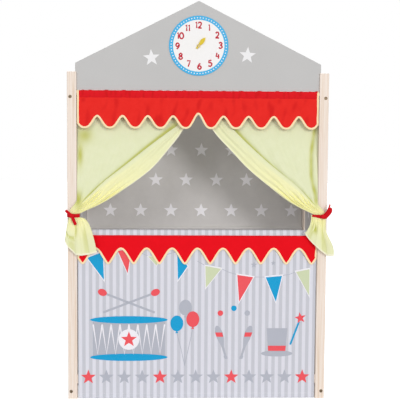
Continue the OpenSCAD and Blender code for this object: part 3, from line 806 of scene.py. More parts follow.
@dataclass
class Studio:
    """Camera fitted to the photograph, two soft lamps, a white floor and a white world.

    The eye is in metres, the camera's turns are in degrees, and its lens and sensor in millimetres.
    """

    eye: tuple[float, float, float] = (-0.08957, -3.16175, 0.88633)
    yaw: float = 1.8434
    pitch: float = -4.4249
    roll: float = 0.3698
    lens: float = 83.86
    sensor: float = 36.0
    lamps: tuple[Lamp, ...] = (Lamp(22, 12, 1.05, 16), Lamp(-24, 18, 0.48, 20))
    ambient: float = 0.525
    floor_half: float = 12.0
    floor_tone: float = 0.9
    floor_lift: float = 0.72

    def build(self) -> None:
        """Sets up the camera, the light and the floor."""
        self._camera()
        for number, lamp in enumerate(self.lamps):
            lamp.build(f"lamp_{number}")
        self._world()
        self._floor()
        bpy.context.scene.view_settings.view_transform = "Standard"

    def _camera(self) -> None:
        """Adds the camera at the photograph's place and angle."""
        yaw, pitch, roll = (math.radians(a) for a in (self.yaw, self.pitch, self.roll))
        level = math.cos(pitch)
        ahead = Vector((math.sin(yaw) * level, math.cos(yaw) * level, math.sin(pitch)))
        flat = Vector((math.cos(yaw), -math.sin(yaw), 0))
        above = flat.cross(ahead)
        right = flat * math.cos(roll) + above * math.sin(roll)
        up = above * math.cos(roll) - flat * math.sin(roll)
        data = bpy.data.cameras.new("camera")
        data.lens, data.sensor_width = self.lens, self.sensor
        data.dof.use_dof = False
        camera = bpy.data.objects.new("camera", data)
        turn = Matrix((right, up, -ahead)).transposed().to_4x4()
        camera.matrix_world = Matrix.Translation(self.eye) @ turn
        bpy.context.scene.collection.objects.link(camera)
        bpy.context.scene.camera = camera

    def _world(self) -> None:
        """Lights everything evenly and shows plain white to the camera and in reflections."""
        world = bpy.data.worlds.new("studio")
        bpy.context.scene.world = world
        world.use_nodes = True
        made = Nodes(world.node_tree)
        path = made.add("ShaderNodeLightPath").outputs
        seen = made.add("ShaderNodeMath", {"operation": "MAXIMUM"}, {
            0: path["Is Camera Ray"], 1: path["Is Glossy Ray"]})
        also = made.add("ShaderNodeMath", {"operation": "MAXIMUM"}, {
            0: seen.outputs[0], 1: path["Is Transmission Ray"]})
        level = made.add("ShaderNodeMapRange", inputs={"Value": also.outputs[0], "To Min": self.ambient})
        sky = made.add("ShaderNodeBackground", inputs={
            "Color": (1, 1, 1, 1), "Strength": level.outputs[0]})
        made.add("ShaderNodeOutputWorld", inputs={"Surface": sky.outputs[0]})

    def _floor(self) -> None:
        """Adds a large white floor that the camera sees as white, apart from the object's shadow."""
        made = Surface("studio_floor")
        seen = made.add("ShaderNodeLightPath").outputs["Is Camera Ray"]
        lift = made.add("ShaderNodeMath", {"operation": "MULTIPLY"}, {0: seen, 1: self.floor_lift})
        glow = made.add("ShaderNodeEmission", inputs={"Strength": lift.outputs[0]})
        matt = made.add("ShaderNodeBsdfDiffuse", inputs={"Color": (*[self.floor_tone] * 3, 1)})
        both = made.add("ShaderNodeAddShader", inputs={0: glow.outputs[0], 1: matt.outputs[0]})
        made.add("ShaderNodeOutputMaterial", inputs={"Surface": both.outputs[0]})
        mesh = bmesh.new()
        bmesh.ops.create_grid(mesh, x_segments=1, y_segments=1, size=self.floor_half)
        data = bpy.data.meshes.new("studio_floor")
        mesh.to_mesh(data)
        mesh.free()
        data.materials.append(made.material)
        floor = bpy.data.objects.new("studio_floor", data)
        bpy.context.scene.collection.objects.link(floor)


@dataclass
class Frame:
    """Bolted pine frame, its rods and its fixings: CAD nodes and copies of them with broken edges."""

    palette: Palette
    upright: tuple[str, ...] = ("front_post_left", "front_post_right", "rear_post_left",
                                "rear_post_right")
    side_rails: tuple[str, ...] = ("top_side_rail_left", "top_side_rail_right", "bottom_side_rail_left",
                                   "bottom_side_rail_right")
    cross_rails: tuple[str, ...] = ("front_cross_rail", "rear_top_rail", "rear_bottom_rail")
    rods: tuple[str, ...] = ("valance_rod", "stage_rod", "back_cloth_rod")
    wood_bevel: float = 0.7
    bolt_bevel: float = 0.5

    def build(self) -> None:
        """Dresses every piece of the frame."""
        for nodes, wood in ((self.upright, "pine_z"), (self.side_rails, "pine_y"),
                            (self.cross_rails, "pine_x")):
            for node in nodes:
                finished_copy(node, self.palette[wood], self.wood_bevel)
        for node in ("front_bolts", "rear_bolts", "cross_rail_bolts"):
            finished_copy(node, self.palette["bronze"], self.bolt_bevel)
        kept = {node: "pine_x" for node in self.rods}
        kept.update(locating_dowels="pine_y", curtain_rod="zinc", side_rail_nuts="zinc",
                    cross_rail_nuts="zinc")
        for node, finish in kept.items():
            bpy.data.objects[node].data.materials.clear()
            bpy.data.objects[node].data.materials.append(self.palette[finish])


class Print:
    """Flat printed shapes, drawn as thin films that follow the surface under them."""

    def __init__(self) -> None:
        """Starts with no shapes."""
        self.mesh = bmesh.new()

    def shape(self, outline: Sequence[Point]) -> None:
        """Adds one filled outline of x and z.

        Args:
            outline: Its corners in order.
        """
        corners = bmesh.ops.create_circle(
            self.mesh, cap_ends=True, segments=len(outline), radius=1.0)["verts"]
        for corner, (x, z) in zip(corners, outline):
            corner.co = (x, 0, z)

    def disc(self, x: float, z: float, wide: float, high: float | None = None, turn: float = 0.0,
             segments: int = 24) -> None:
        """Adds an oval of those half sizes, turned by an angle in degrees.

        Args:
            x: Its middle.
            z: Height of its middle.
            wide: Half its width.
            high: Half its height, if that isn't half its width.
            turn: Its turn in degrees.
            segments: Number of its corners.
        """
        tall = wide if high is None else high
        c, s = math.cos(math.radians(turn)), math.sin(math.radians(turn))
        ring = [(wide * math.cos(math.tau * i / segments), tall * math.sin(math.tau * i / segments))
                for i in range(segments)]
        self.shape([(x + c * a - s * b, z + s * a + c * b) for a, b in ring])

    def star(self, x: float, z: float, radius: float, turn: float = 0.0, waist: float = 0.42) -> None:
        """Adds a star of five points, whose inner corners lie at a share waist of its radius.

        Args:
            x: Its middle.
            z: Height of its middle.
            radius: Its outer radius.
            turn: Its turn in degrees.
            waist: Radius of its inner corners, as a share.
        """
        ring = []
        for i in range(10):
            angle = math.radians(90 + turn + 36 * i)
            reach = radius * (1 if i % 2 == 0 else waist)
            ring.append((x + reach * math.cos(angle), z + reach * math.sin(angle)))
        self.shape(ring)

    def line(self, path: Sequence[Point], width: float) -> None:
        """Adds a stroke of even width along a path.

        Args:
            path: Points of the stroke.
            width: Its width.
        """
        left, right = [], []
        for i, (x, z) in enumerate(path):
            ahead, behind = path[min(i + 1, len(path) - 1)], path[max(i - 1, 0)]
            way = Vector((ahead[0] - behind[0], ahead[1] - behind[1])).normalized() * width / 2
            left.append((x - way.y, z + way.x))
            right.append((x + way.y, z - way.x))
        self.shape(left + right[::-1])

    def lay(self, name: str, material: bpy.types.Material,
            spot: Callable[[float, float, float], Vector], lift: float, cut_mm: float = 14.0,
            film_mm: float = 0.15) -> bpy.types.Object:
        """Cuts the shapes so that they can bend, lays them on their surface and thickens them.

        Args:
            name: Name of the piece.
            material: Its ink.
            spot: Gives the point in metres for x, z and the height above the surface.
            lift: Height of the film above the surface.
            cut_mm: Largest distance between two cuts.
            film_mm: Thickness of the film.

        Returns:
            The print as one piece.
        """
        for axis in (0, 2):
            marks = [v.co[axis] for v in self.mesh.verts]
            count = int((max(marks) - min(marks)) / cut_mm)
            for i in range(1, count + 1):
                at, normal = [0.0, 0.0, 0.0], [0.0, 0.0, 0.0]
                at[axis], normal[axis] = min(marks) + i * cut_mm, 1.0
                geometry = self.mesh.verts[:] + self.mesh.edges[:] + self.mesh.faces[:]
                bmesh.ops.bisect_plane(self.mesh, geom=geometry, plane_co=at, plane_no=normal)
        for corner in self.mesh.verts:
            corner.co = spot(corner.co.x, corner.co.z, lift)
        for face in self.mesh.faces:
            face.normal_update()
            if face.normal.y > 0:
                face.normal_flip()
        piece = add_piece(name, self.mesh, material, flat=True)
        return thicken(piece, film_mm, -1.0)


class Stroke(Enum):
    """How a stroke of a number runs through its points."""

    CORNERED = "straight from point to point"
    CURVED = "in a curve"
    CLOSED = "in a closed curve"


@dataclass
class Gable:
    """Lacquered gable board with two screen-printed stars and the play clock.

    STROKES holds each digit's strokes, with their points as shares of its width and its height.
    """

    palette: Palette
    board_y: float = 7.0
    board_bevel: float = 0.8
    stars: tuple[tuple[float, float, float], ...] = ((-151, 1109, 4), (156.5, 1119, -4))
    star_r: float = 27.5
    clock_z: float = 1148.0
    dial_y: float = 5.0
    dial_bevel: float = 0.4
    screw_bevel: float = 0.25
    dot_ring: float = 88.3
    dot_r: float = 1.9
    dots: int = 60
    numeral_x: float = 0.8
    numeral_rx: float = 68.5
    numeral_rz: float = 65.0
    numeral_turn: float = -1.5
    numeral_h: float = 18.5
    numeral_w: float = 12.0
    one_share: float = 0.6
    digit_gap: float = 1.4
    stroke: float = 2.4
    stroke_share: float = 0.12

    STROKES = {
        "0": [(Stroke.CLOSED, [(0.5, 1), (0.05, 0.72), (0.05, 0.28), (0.5, 0), (0.95, 0.28),
                               (0.95, 0.72)])],
        "1": [(Stroke.CORNERED, [(0.15, 0.86), (0.6, 1), (0.6, 0)])],
        "2": [(Stroke.CURVED, [(0.08, 0.78), (0.35, 1), (0.8, 0.88), (0.78, 0.55), (0.05, 0.02)]),
              (Stroke.CORNERED, [(0.05, 0.02), (0.95, 0.02)])],
        "3": [(Stroke.CURVED, [(0.1, 0.85), (0.5, 1), (0.88, 0.76), (0.45, 0.54)]),
              (Stroke.CURVED, [(0.45, 0.54), (0.95, 0.3), (0.5, 0), (0.06, 0.14)])],
        "4": [(Stroke.CORNERED, [(0.3, 1), (0.05, 0.38), (0.95, 0.38)]),
              (Stroke.CORNERED, [(0.7, 0.72), (0.66, 0)])],
        "5": [(Stroke.CORNERED, [(0.85, 1), (0.22, 1), (0.14, 0.58)]),
              (Stroke.CURVED, [(0.14, 0.58), (0.55, 0.64), (0.94, 0.34), (0.5, 0), (0.06, 0.12)])],
        "6": [(Stroke.CURVED, [(0.72, 1), (0.22, 0.62), (0.08, 0.26), (0.5, 0), (0.93, 0.28),
                               (0.55, 0.56), (0.12, 0.34)])],
        "7": [(Stroke.CORNERED, [(0.06, 1), (0.92, 1), (0.36, 0)])],
        "8": [(Stroke.CLOSED, [(0.5, 0.54), (0.14, 0.78), (0.5, 1), (0.86, 0.78), (0.5, 0.54),
                               (0.06, 0.26), (0.5, 0), (0.94, 0.26)])],
        "9": [(Stroke.CURVED, [(0.28, 0), (0.78, 0.38), (0.92, 0.74), (0.5, 1), (0.07, 0.72),
                               (0.45, 0.44), (0.88, 0.66)])],
    }

    def build(self) -> None:
        """Builds the board, its stars, the dial and the hand."""
        finished_copy("gable_board", self.palette["board"], self.board_bevel)
        finished_copy("clock_dial", self.palette["dial"], self.dial_bevel)
        finished_copy("clock_hand", self.palette["hand"], self.board_bevel, "clock_hand")
        for node in ("clock_hand_screw", "clock_hand_washer", "clock_hand_nut"):
            body = body_of(bpy.data.objects[node])
            finished_copy(node, self.palette["zinc"], self.screw_bevel,
                          body if isinstance(body, str) else ROOT)
        self._stars()
        self._dots()
        self._numerals()

    def _on(self, y: float) -> Callable[[float, float, float], Vector]:
        """Gives the placing on a flat face at that depth."""
        return lambda x, z, lift: place(x, y - lift, z)

    def _stars(self) -> None:
        """Prints the two white stars beside the clock."""
        stars = Print()
        for x, z, turn in self.stars:
            stars.star(x, z, self.star_r, turn)
        on_root(stars.lay("gable_stars", self.palette["paint_star"], self._on(self.board_y),
                          lift=0.15, cut_mm=60))

    def _dots(self) -> None:
        """Prints the white minute dots on the dial's ring."""
        dots = Print()
        for i in range(self.dots):
            angle = math.tau * (i + 0.5) / self.dots
            x, z = self.dot_ring * math.sin(angle), self.clock_z + self.dot_ring * math.cos(angle)
            dots.disc(x, z, self.dot_r, segments=10)
        on_root(dots.lay("clock_minute_dots", self.palette["ink_dot"],
                         self._on(self.dial_y), lift=0.12, cut_mm=1000))

    def _numerals(self) -> None:
        """Prints the numbers 1 to 12 in rounded strokes."""
        curve = bpy.data.curves.new("clock_numerals", "CURVE")
        curve.dimensions, curve.bevel_depth, curve.bevel_resolution = "3D", self.stroke, 3
        curve.use_fill_caps, curve.resolution_u = True, 8
        for hour in range(1, 13):
            angle = math.tau * hour / 12 + math.radians(self.numeral_turn)
            z = self.clock_z + self.numeral_rz * math.cos(angle)
            widths = [self.numeral_w * (self.one_share if digit == "1" else 1.0) for digit in str(hour)]
            whole = sum(widths) + self.digit_gap * (len(widths) - 1)
            left = self.numeral_x + self.numeral_rx * math.sin(angle) - whole / 2
            for digit, wide in zip(str(hour), widths):
                for kind, path in self.STROKES[digit]:
                    self._stroke(curve, kind, [(left + wide * u, z + self.numeral_h * (v - 0.5))
                                               for u, v in path])
                left += wide + self.digit_gap
        holder = bpy.data.objects.new("clock_numerals", curve)
        mesh = bmesh.new()
        bpy.context.scene.collection.objects.link(holder)
        bpy.context.view_layer.update()
        flat = holder.evaluated_get(bpy.context.evaluated_depsgraph_get()).to_mesh()
        mesh.from_mesh(flat)
        holder.to_mesh_clear()
        bpy.data.objects.remove(holder)
        for corner in mesh.verts:
            corner.co = place(corner.co.x, self.dial_y - 0.1 + corner.co.y * self.stroke_share,
                              corner.co.z)
        on_root(add_piece("clock_numerals", mesh, self.palette["ink_numeral"]))

    def _stroke(self, curve: bpy.types.Curve, kind: Stroke, path: Sequence[Point]) -> None:
        """Adds one round stroke of a number to the curve.

        Args:
            curve: The curve that it is added to.
            kind: How it runs.
            path: Its points as x and z.
        """
        spline = curve.splines.new("BEZIER")
        spline.bezier_points.add(len(path) - 1)
        spline.use_cyclic_u = kind is Stroke.CLOSED
        handle = "VECTOR" if kind is Stroke.CORNERED else "AUTO"
        for knot, (x, z) in zip(spline.bezier_points, path):
            knot.co = (x, 0, z)
            knot.handle_left_type = knot.handle_right_type = handle


@dataclass
class Tape:
    """Cream tape folded over the edge of a valance and sewn flat.

    SECTION is its outline, as shares of its width from the fold and of half its thickness.
    """

    width: float = 6.5
    half_thick: float = 1.0
    lap: float = 0.6
    side_lap: float = 0.4
    reach: float = 6.0

    SECTION = ((0.0, 0.0), (0.04, -0.75), (0.18, -1.0), (0.85, -1.0), (1.0, -0.6), (1.0, 0.6),
               (0.85, 1.0), (0.18, 1.0), (0.04, 0.75))

    def edge(self, mesh: bmesh.types.BMesh, xs: Sequence[float], z_of: Callable[[float], float],
             y_of: Callable[[float], float]) -> None:
        """Binds the cloth's edge z_of from outside; the tape keeps its width square to that edge.

        Args:
            mesh: The mesh that the tape is added to.
            xs: Places along the edge.
            z_of: Gives the height of the cloth's edge.
            y_of: Gives its depth.
        """
        rings, limit = [], max(xs)
        for x in xs:
            slope = (z_of(x + self.reach) - z_of(x - self.reach)) / (2 * self.reach)
            long = math.sqrt(1 + slope * slope)
            ring = []
            for a, b in self.SECTION:
                out = (1 - a) * self.width - self.lap
                at = min(limit, max(-limit, x + out * slope / long))
                ring.append(place(at, y_of(at) + b * self.half_thick, z_of(x) - out / long))
            rings.append(ring)
        sweep(mesh, rings)

    def side(self, mesh: bmesh.types.BMesh, x_outer: float, inward: int, path: Sequence[Point]) -> None:
        """Binds one side edge along y and z down the cloth, and reaches past its corner.

        Args:
            mesh: The mesh that the tape is added to.
            x_outer: The cloth's outer edge.
            inward: 1 where the cloth lies to the right of the edge, otherwise -1.
            path: The edge as y and z, from the top down.
        """
        rings, (last_y, last_z) = [], path[-1]
        path = [*path, (last_y, last_z - self.width / 2), (last_y, last_z - self.width + 1.6)]
        for i, (y, z) in enumerate(path):
            ahead, behind = path[min(i + 1, len(path) - 1)], path[max(i - 1, 0)]
            way = Vector((ahead[0] - behind[0], ahead[1] - behind[1])).normalized()
            rings.append([place(x_outer + inward * (a * self.width - self.side_lap),
                                y + way.y * b * self.half_thick, z - way.x * b * self.half_thick)
                          for a, b in self.SECTION])
        sweep(mesh, rings)


@dataclass
class Valance:
    """Red valance sewn round the upper rod, with round scallops and a deeper middle notch."""

    palette: Palette
    low: float = 883.0
    half: float = 388.0
    rod_y: float = 10.0
    rod_z: float = 996.0
    seam_z: float = 983.5
    hang_y: float = 3.0
    wrap_r: float = 8.4
    pitch: float = 81.0
    scallop_h: float = 37.0
    notch: float = 9.0
    tape_w: float = 5.4
    inset: float = 1.5
    seam_end: float = 9.0
    crease_fall: float = 90.0
    cloth_t: float = 1.2
    rows: int = 22
    columns: int = 288
    tape_steps: int = 480
    tape: Tape = field(default_factory=Tape)

    def edge_z(self, x: float) -> float:
        """Height of the red cloth's scalloped edge, which the tape binds.

        Args:
            x: Distance to the audience's right.

        Returns:
            The height.
        """
        wave = ((1 + math.cos(math.tau * x / self.pitch)) / 2) ** 1.3
        deeper = self.notch * wave if abs(x) < self.pitch / 2 else 0.0
        return self.low + self.tape_w + self.scallop_h * wave + deeper

    def ripple(self, x: float, t: float) -> float:
        """How far the cloth swings forward at a share t of its fall.

        Args:
            x: Distance to the audience's right.
            t: Share of the cloth's fall.

        Returns:
            The distance forward.
        """
        small = 1.9 * noise(Vector((x / 34, t * 1.6, 5.0)))
        scallops, wide = 1.6 * sin_deg(360 * x / self.pitch), 0.8 * sin_deg(360 * x / 310 + 40)
        return t * (scallops + wide) + small * t

    def crease(self, x: float, t: float) -> float:
        """Painted shade of creases in the cloth: soft upright ones, and short ones in the sleeve above the
        seam.

        Args:
            x: Distance to the audience's right.
            t: Distance below the seam, as a share of crease_fall.

        Returns:
            0 where it is smooth, up to 0.7 where creases are painted dark.
        """
        if t < 0.0:
            return 0.7 * smooth((noise(Vector((x / 9, t * 3, 8.0))) - 0.05) / 0.5)
        upright = noise(Vector((x / 21 + 0.5 * t, t * 1.8, 3.0)))
        return 0.6 * smooth((upright - 0.02) / 0.6) * smooth(t / 0.1)

    def section(self, x: float) -> list[Point]:
        """The cloth's path at x, from the seam behind the rod over it and down to the edge.

        Args:
            x: Distance to the audience's right.

        Returns:
            The path as y and z.
        """
        pucker = 0.7 * sin_deg(360 * x / 27 + 60 * sin_deg(x)) + 0.5 * sin_deg(360 * x / 61 + 30)
        path = [(self.hang_y + 1.4, self.seam_z)]
        for angle in SLEEVE_ANGLES:
            r = self.wrap_r + max(0.0, pucker * sin_deg(angle))
            path.append((self.rod_y + r * math.cos(math.radians(angle)), self.rod_z + r * sin_deg(angle)))
        path.append((self.hang_y - 0.5, self.seam_z + 3))
        foot = self.edge_z(x) - self.inset
        for j in range(self.rows + 1):
            t = j / self.rows
            dimple = 1.2 * smooth(t / 0.1) - 1.2
            y = self.hang_y - self.ripple(x, t) - dimple * 0.9 - 0.6
            path.append((y, lerp(self.seam_z, foot, t)))
        return path

    def build(self) -> None:
        """Builds the cloth, its tape and its stitching."""
        xs = steps(-self.half + self.inset, self.half - self.inset, self.columns)
        grid = [[place(x, y, z) for y, z in self.section(x)] for x in xs]
        # Painted shade of creases, carried in the mesh's red channel
        marks = [[(self.crease(x, (self.seam_z - spot.z / MM) / self.crease_fall), 0.0, 0.0)
                  for spot in column] for x, column in zip(xs, grid)]
        cloth = grid_cloth("valance_cloth", grid, self.palette["red"], self.cloth_t, marks)
        on_root(cloth, "valance")
        self._bind("valance_tape_sewn", "valance_tape",
                   lambda x: self.hang_y - 0.6 - self.ripple(x, 1), 8)
        self._stitch("valance_seam", self.hang_y - 1.2, self.seam_z)

    def _bind(self, name: str, node: str, y_of: Callable[[float], float], first: int) -> None:
        """Sews the tape along the lower edge and down both sides.

        Args:
            name: Name of the tape's piece.
            node: The CAD node that it replaces.
            y_of: Gives the depth of the lower edge.
            first: The section's first point that has tape at the sides.
        """
        mesh = bmesh.new()
        self.tape.edge(mesh, steps(-self.half, self.half, self.tape_steps), self.edge_z, y_of)
        for side in (-1, 1):
            self.tape.side(mesh, side * self.half, -side, self.section(side * self.half)[first:])
        on_root(add_piece(name, mesh, self.palette["tape"]), node)

    def _stitch(self, name: str, y: float, z: float) -> None:
        """Stitches the row across the cloth."""
        seam = [place(x, y, z) for x in steps(-self.half + self.seam_end, self.half - self.seam_end, 60)]
        on_root(stitch_row(name, seam, self.palette["thread_red"]))


@dataclass
class StageValance(Valance):
    """Red valance of the stage edge, with round arches and pointed tips."""

    low: float = 443.0
    tape_w: float = 7.0
    seam_z: float = 538.5
    hang_y: float = -3.0
    arch_h: float = 49.0
    pitch: float = 82.5
    rows: int = 20
    tape_steps: int = 520

    def edge_z(self, x: float) -> float:
        """Height of the red cloth's arched edge, which the tape binds."""
        return self.low + self.tape_w + self.arch_h * abs(math.cos(math.pi * x / self.pitch)) ** 1.3

    def section(self, x: float) -> list[Point]:
        """The cloth's path at x, from its turned top edge down to the arches.

        Args:
            x: Distance to the audience's right.

        Returns:
            The path as y and z.
        """
        foot = self.edge_z(x) - self.inset
        path = [(0.5, self.seam_z - 5), (0.4, self.seam_z - 0.8), (-0.4, self.seam_z)]
        for j in range(1, self.rows + 1):
            t = j / self.rows
            y = lerp(-0.9, self.hang_y, smooth(t / 0.3)) - self.ripple(x, t)
            path.append((y, lerp(self.seam_z - 0.6, foot, t)))
        return path

    def build(self) -> None:
        """Builds the cloth, its tape and its stitching."""
        xs = steps(-self.half + self.inset, self.half - self.inset, self.columns)
        grid = [[place(x, y, z) for y, z in self.section(x)] for x in xs]
        cloth = grid_cloth("stage_valance_cloth", grid, self.palette["stage_red"],
                           self.cloth_t)
        on_root(cloth, "stage_valance")
        self._bind("stage_valance_tape_sewn", "stage_valance_tape",
                   lambda x: self.hang_y - self.ripple(x, 1), 3)
        self._stitch("stage_valance_seam", -1.7, self.seam_z - 3)


@dataclass
class FrontCloth:
    """Striped front cloth, sewn round the stage rod and hemmed near the floor, with its prints.

    PENNANTS holds the corners of the flags by ink, STRINGS their strings, and CLUB the height and
    the half width of a juggling club from its foot to its head.
    """

    palette: Palette
    half: float = 387.0
    rod_y: float = 10.0
    rod_z: float = 547.5
    wrap_r: float = 8.4
    seam_z: float = 534.5
    hang_y: float = 0.9
    hem_z: float = 2.8
    hem_h: float = 15.0
    hem_end: float = 4.0
    cloth_t: float = 1.2
    rows: int = 60
    columns: int = 180
    print_lift: float = 0.2
    layer_lift: float = 0.16
    pennant_edge: float = 1.17
    string_w: float = 1.6
    first_star_x: float = -354.0
    star_pitch: float = 58.4
    star_z: float = 72.0
    star_r: float = 25.0

    PENNANTS = {
        "ink_blue": (((-356, 465), (-306, 485), (-303, 393)), ((-66, 485), (-32, 438), (-63, 393)),
                     ((223, 402), (276, 407), (257, 322))),
        "ink_red": (((-258, 488), (-214, 494), (-226, 415)), ((130, 410), (182, 402), (137, 322))),
        "ink_green": (((-160, 470), (-118, 470), (-133, 440)), ((26, 439), (77, 430), (28, 368)),
                      ((322, 420), (366, 429), (366, 342))),
    }
    STRINGS = (
        ((-356, 466), (-330, 474), (-306, 484), (-258, 489), (-214, 495), (-160, 471), (-118, 471),
         (-66, 486)),
        ((0, 455), (26, 440), (77, 431), (104, 418), (130, 411), (182, 403), (223, 403), (276, 408),
         (300, 412), (322, 421), (366, 430)),
    )
    CLUB = ((0, 5), (8, 6), (12, 3.5), (40, 4), (66, 11), (88, 12.5), (104, 8), (110, 3))

    def panel_y(self, x: float, z: float) -> float:
        """Depth of the cloth's mid-surface on its flat fall.

        Args:
            x: Distance to the audience's right.
            z: Height above the floor.

        Returns:
            The depth.
        """
        t = min(1.0, max(0.0, (self.seam_z - z) / (self.seam_z - self.hem_z)))
        waves = sin_deg(360 * x / 260 + 60 * t) + 0.5 * sin_deg(360 * x / 97)
        slack = 0.5 * sin_deg(180 * t) * waves
        small = 0.5 * sin_deg(180 * t) * noise(Vector((x / 60, z / 110, 1.0)))
        return self.hang_y - slack - small

    def spot(self, x: float, z: float, lift: float) -> Vector:
        """A point above the cloth's front face."""
        return place(x, self.panel_y(x, z) - self.cloth_t / 2 - lift, z)

    def section(self, x: float) -> list[Point]:
        """The cloth's path at x: round the rod, down to the floor and up again inside the hem.

        Args:
            x: Distance to the audience's right.

        Returns:
            The path as y and z.
        """
        pucker = 0.3 * sin_deg(360 * x / 31) + 0.25 * sin_deg(360 * x / 74 + 50)
        path = [(self.hang_y + 1.4, self.seam_z)]
        for angle in SLEEVE_ANGLES:
            r = self.wrap_r + max(0.0, pucker * sin_deg(angle))
            path.append((self.rod_y + r * math.cos(math.radians(angle)), self.rod_z + r * sin_deg(angle)))
        for z in steps(self.seam_z + 4, self.hem_z, self.rows):
            path.append((self.panel_y(x, z), z))
        path += [(self.hang_y + 0.3, self.hem_z - 0.7), (self.hang_y + 1.2, self.hem_z - 0.7),
                 (self.hang_y + 1.5, self.hem_z)]
        path += [(self.hang_y + 1.4, z) for z in steps(self.hem_z + 3, self.hem_z + self.hem_h, 3)]
        return path

    def build(self) -> None:
        """Builds the cloth, its stitching and its prints."""
        xs = steps(-self.half, self.half, self.columns)
        grid = [[place(x, y, z) for y, z in self.section(x)] for x in xs]
        cloth = grid_cloth("front_cloth_hung", grid, self.palette["striped"],
                           self.cloth_t)
        on_root(cloth, "front_cloth")
        xs = steps(-self.half + self.hem_end, self.half - self.hem_end, 80)
        hem = [self.spot(x, self.hem_z + self.hem_h, 0) for x in xs]
        stitches = on_root(stitch_row("front_cloth_hem", hem, self.palette["thread_white"]))
        prints = self._bunting() + self._stars() + self._toys()

    def _lay(self, art: Print, name: str, ink: str, layer: int) -> bpy.types.Object:
        """Lays one colour of the print on the cloth; colours that cross each other differ in layer."""
        lift = self.print_lift + self.layer_lift * (layer + 1)
        return on_root(art.lay(name, self.palette[ink], self.spot, lift))

    def _bunting(self) -> list[bpy.types.Object]:
        """Prints two swags of pennants with white edges on thin strings.

        Returns:
            The printed pieces.
        """
        edges, strings, made = Print(), Print(), []
        for ink, outlines in self.PENNANTS.items():
            art = Print()
            for outline in outlines:
                art.shape(outline)
                middle = Vector((sum(p[0] for p in outline) / 3, sum(p[1] for p in outline) / 3))
                edges.shape([tuple(middle + (Vector(p) - middle) * self.pennant_edge) for p in outline])
            made.append(self._lay(art, f"pennants_{ink[4:]}", ink, 3))
        for path in self.STRINGS:
            strings.line(path, self.string_w)
        made.append(self._lay(strings, "bunting_strings", "ink_grey", 0))
        made.append(self._lay(edges, "pennant_edges", "ink_white", 1))
        return made

    def _stars(self) -> list[bpy.types.Object]:
        """Prints the row of stars above the hem, every fourth one red, and a few small ones above.

        Returns:
            The printed pieces.
        """
        grey, red = Print(), Print()
        for i in range(13):
            x = self.first_star_x + self.star_pitch * i
            (red if i % 4 == 0 else grey).star(x, self.star_z, self.star_r)
        for x, z, r in ((184, 443, 11), (247, 449, 8)):
            grey.star(x, z, r)
        return [self._lay(grey, "star_row_grey", "ink_grey", 1),
                self._lay(red, "star_row_red", "ink_red", 1)]

    def _toys(self) -> list[bpy.types.Object]:
        """Prints playthings of a plain own design: a drum, balloons, clubs and balls, and a hat.

        Returns:
            The printed pieces.
        """
        layers = {"ink_grey": 0, "ink_blue": 2, "ink_white": 3, "ink_red": 4}
        inks = {ink: Print() for ink in layers}
        self._drum(inks, -222, 200)
        self._balloons(inks, -40, 250)
        self._clubs(inks, 120, 200)
        self._hat(inks, 262, 190)
        return [self._lay(inks[ink], f"toys_{ink[4:]}", ink, layer) for ink, layer in layers.items()]

    def _drum(self, inks: dict[str, Print], x: float, z: float) -> None:
        """Draws a drum with its cords and its two sticks.

        Args:
            inks: The prints to draw in, by ink.
            x: Middle of the drawing.
            z: Height of the drawing's middle.
        """
        grey, red, blue, white = (inks["ink_" + c] for c in ("grey", "red", "blue", "white"))
        grey.shape([(x - 118, z + 56), (x + 118, z + 56), (x + 118, z - 66), (x - 118, z - 66)])
        for side in (1, -1):
            blue.disc(x, z + side * 62, 126, 12, segments=40)
        for i in range(8):
            left = x - 116 + 29 * i
            white.line([(left, z + 47), (left + 14.5, z - 51), (left + 29, z + 47)], 5)
        white.disc(x, z - 3, 34, segments=36)
        red.star(x, z - 3, 27)
        for side in (-1, 1):
            grey.line([(x - side * 84, z + 86), (x + side * 82, z + 150)], 7)
            red.disc(x + side * 86, z + 152, 15, 11, side * 22)

    def _balloons(self, inks: dict[str, Print], x: float, z: float) -> None:
        """Draws three balloons on strings.

        Args:
            inks: The prints to draw in, by ink.
            x: Middle of the drawing.
            z: Height of the drawing's middle.
        """
        for dx, dz, ink in ((-26, 0, "ink_blue"), (26, 14, "ink_red"), (2, 52, "ink_grey")):
            cx, cz = x + dx, z + dz
            inks[ink].disc(cx, cz, 21, 26, segments=30)
            inks[ink].shape([(cx - 5, cz - 32), (cx + 5, cz - 32), (cx, cz - 24)])
            inks["ink_grey"].line([(cx, cz - 32), (x + dx * 0.5, z - 80), (x, z - 140)], 1.8)

    def _clubs(self, inks: dict[str, Print], x: float, z: float) -> None:
        """Draws two juggling clubs and an arc of balls.

        Args:
            inks: The prints to draw in, by ink.
            x: Middle of the drawing.
            z: Height of the drawing's middle.
        """
        for side in (-1, 1):
            cx, lean = x + side * 24, side * 0.28
            left = [(cx + s * lean - w, z - 68 + s) for s, w in self.CLUB]
            right = [(cx + s * lean + w, z - 68 + s) for s, w in self.CLUB]
            inks["ink_grey"].shape(left + right[::-1])
            inks["ink_red"].shape([(cx + 76 * lean - 11, z + 6), (cx + 90 * lean - 11.5, z + 20),
                                   (cx + 90 * lean + 11.5, z + 20), (cx + 76 * lean + 11, z + 6)])
        for i, ink in enumerate(("ink_red", "ink_blue", "ink_grey")):
            inks[ink].disc(x - 44 + 44 * i, z + 84 - 16 * abs(i - 1) + 16, 9)

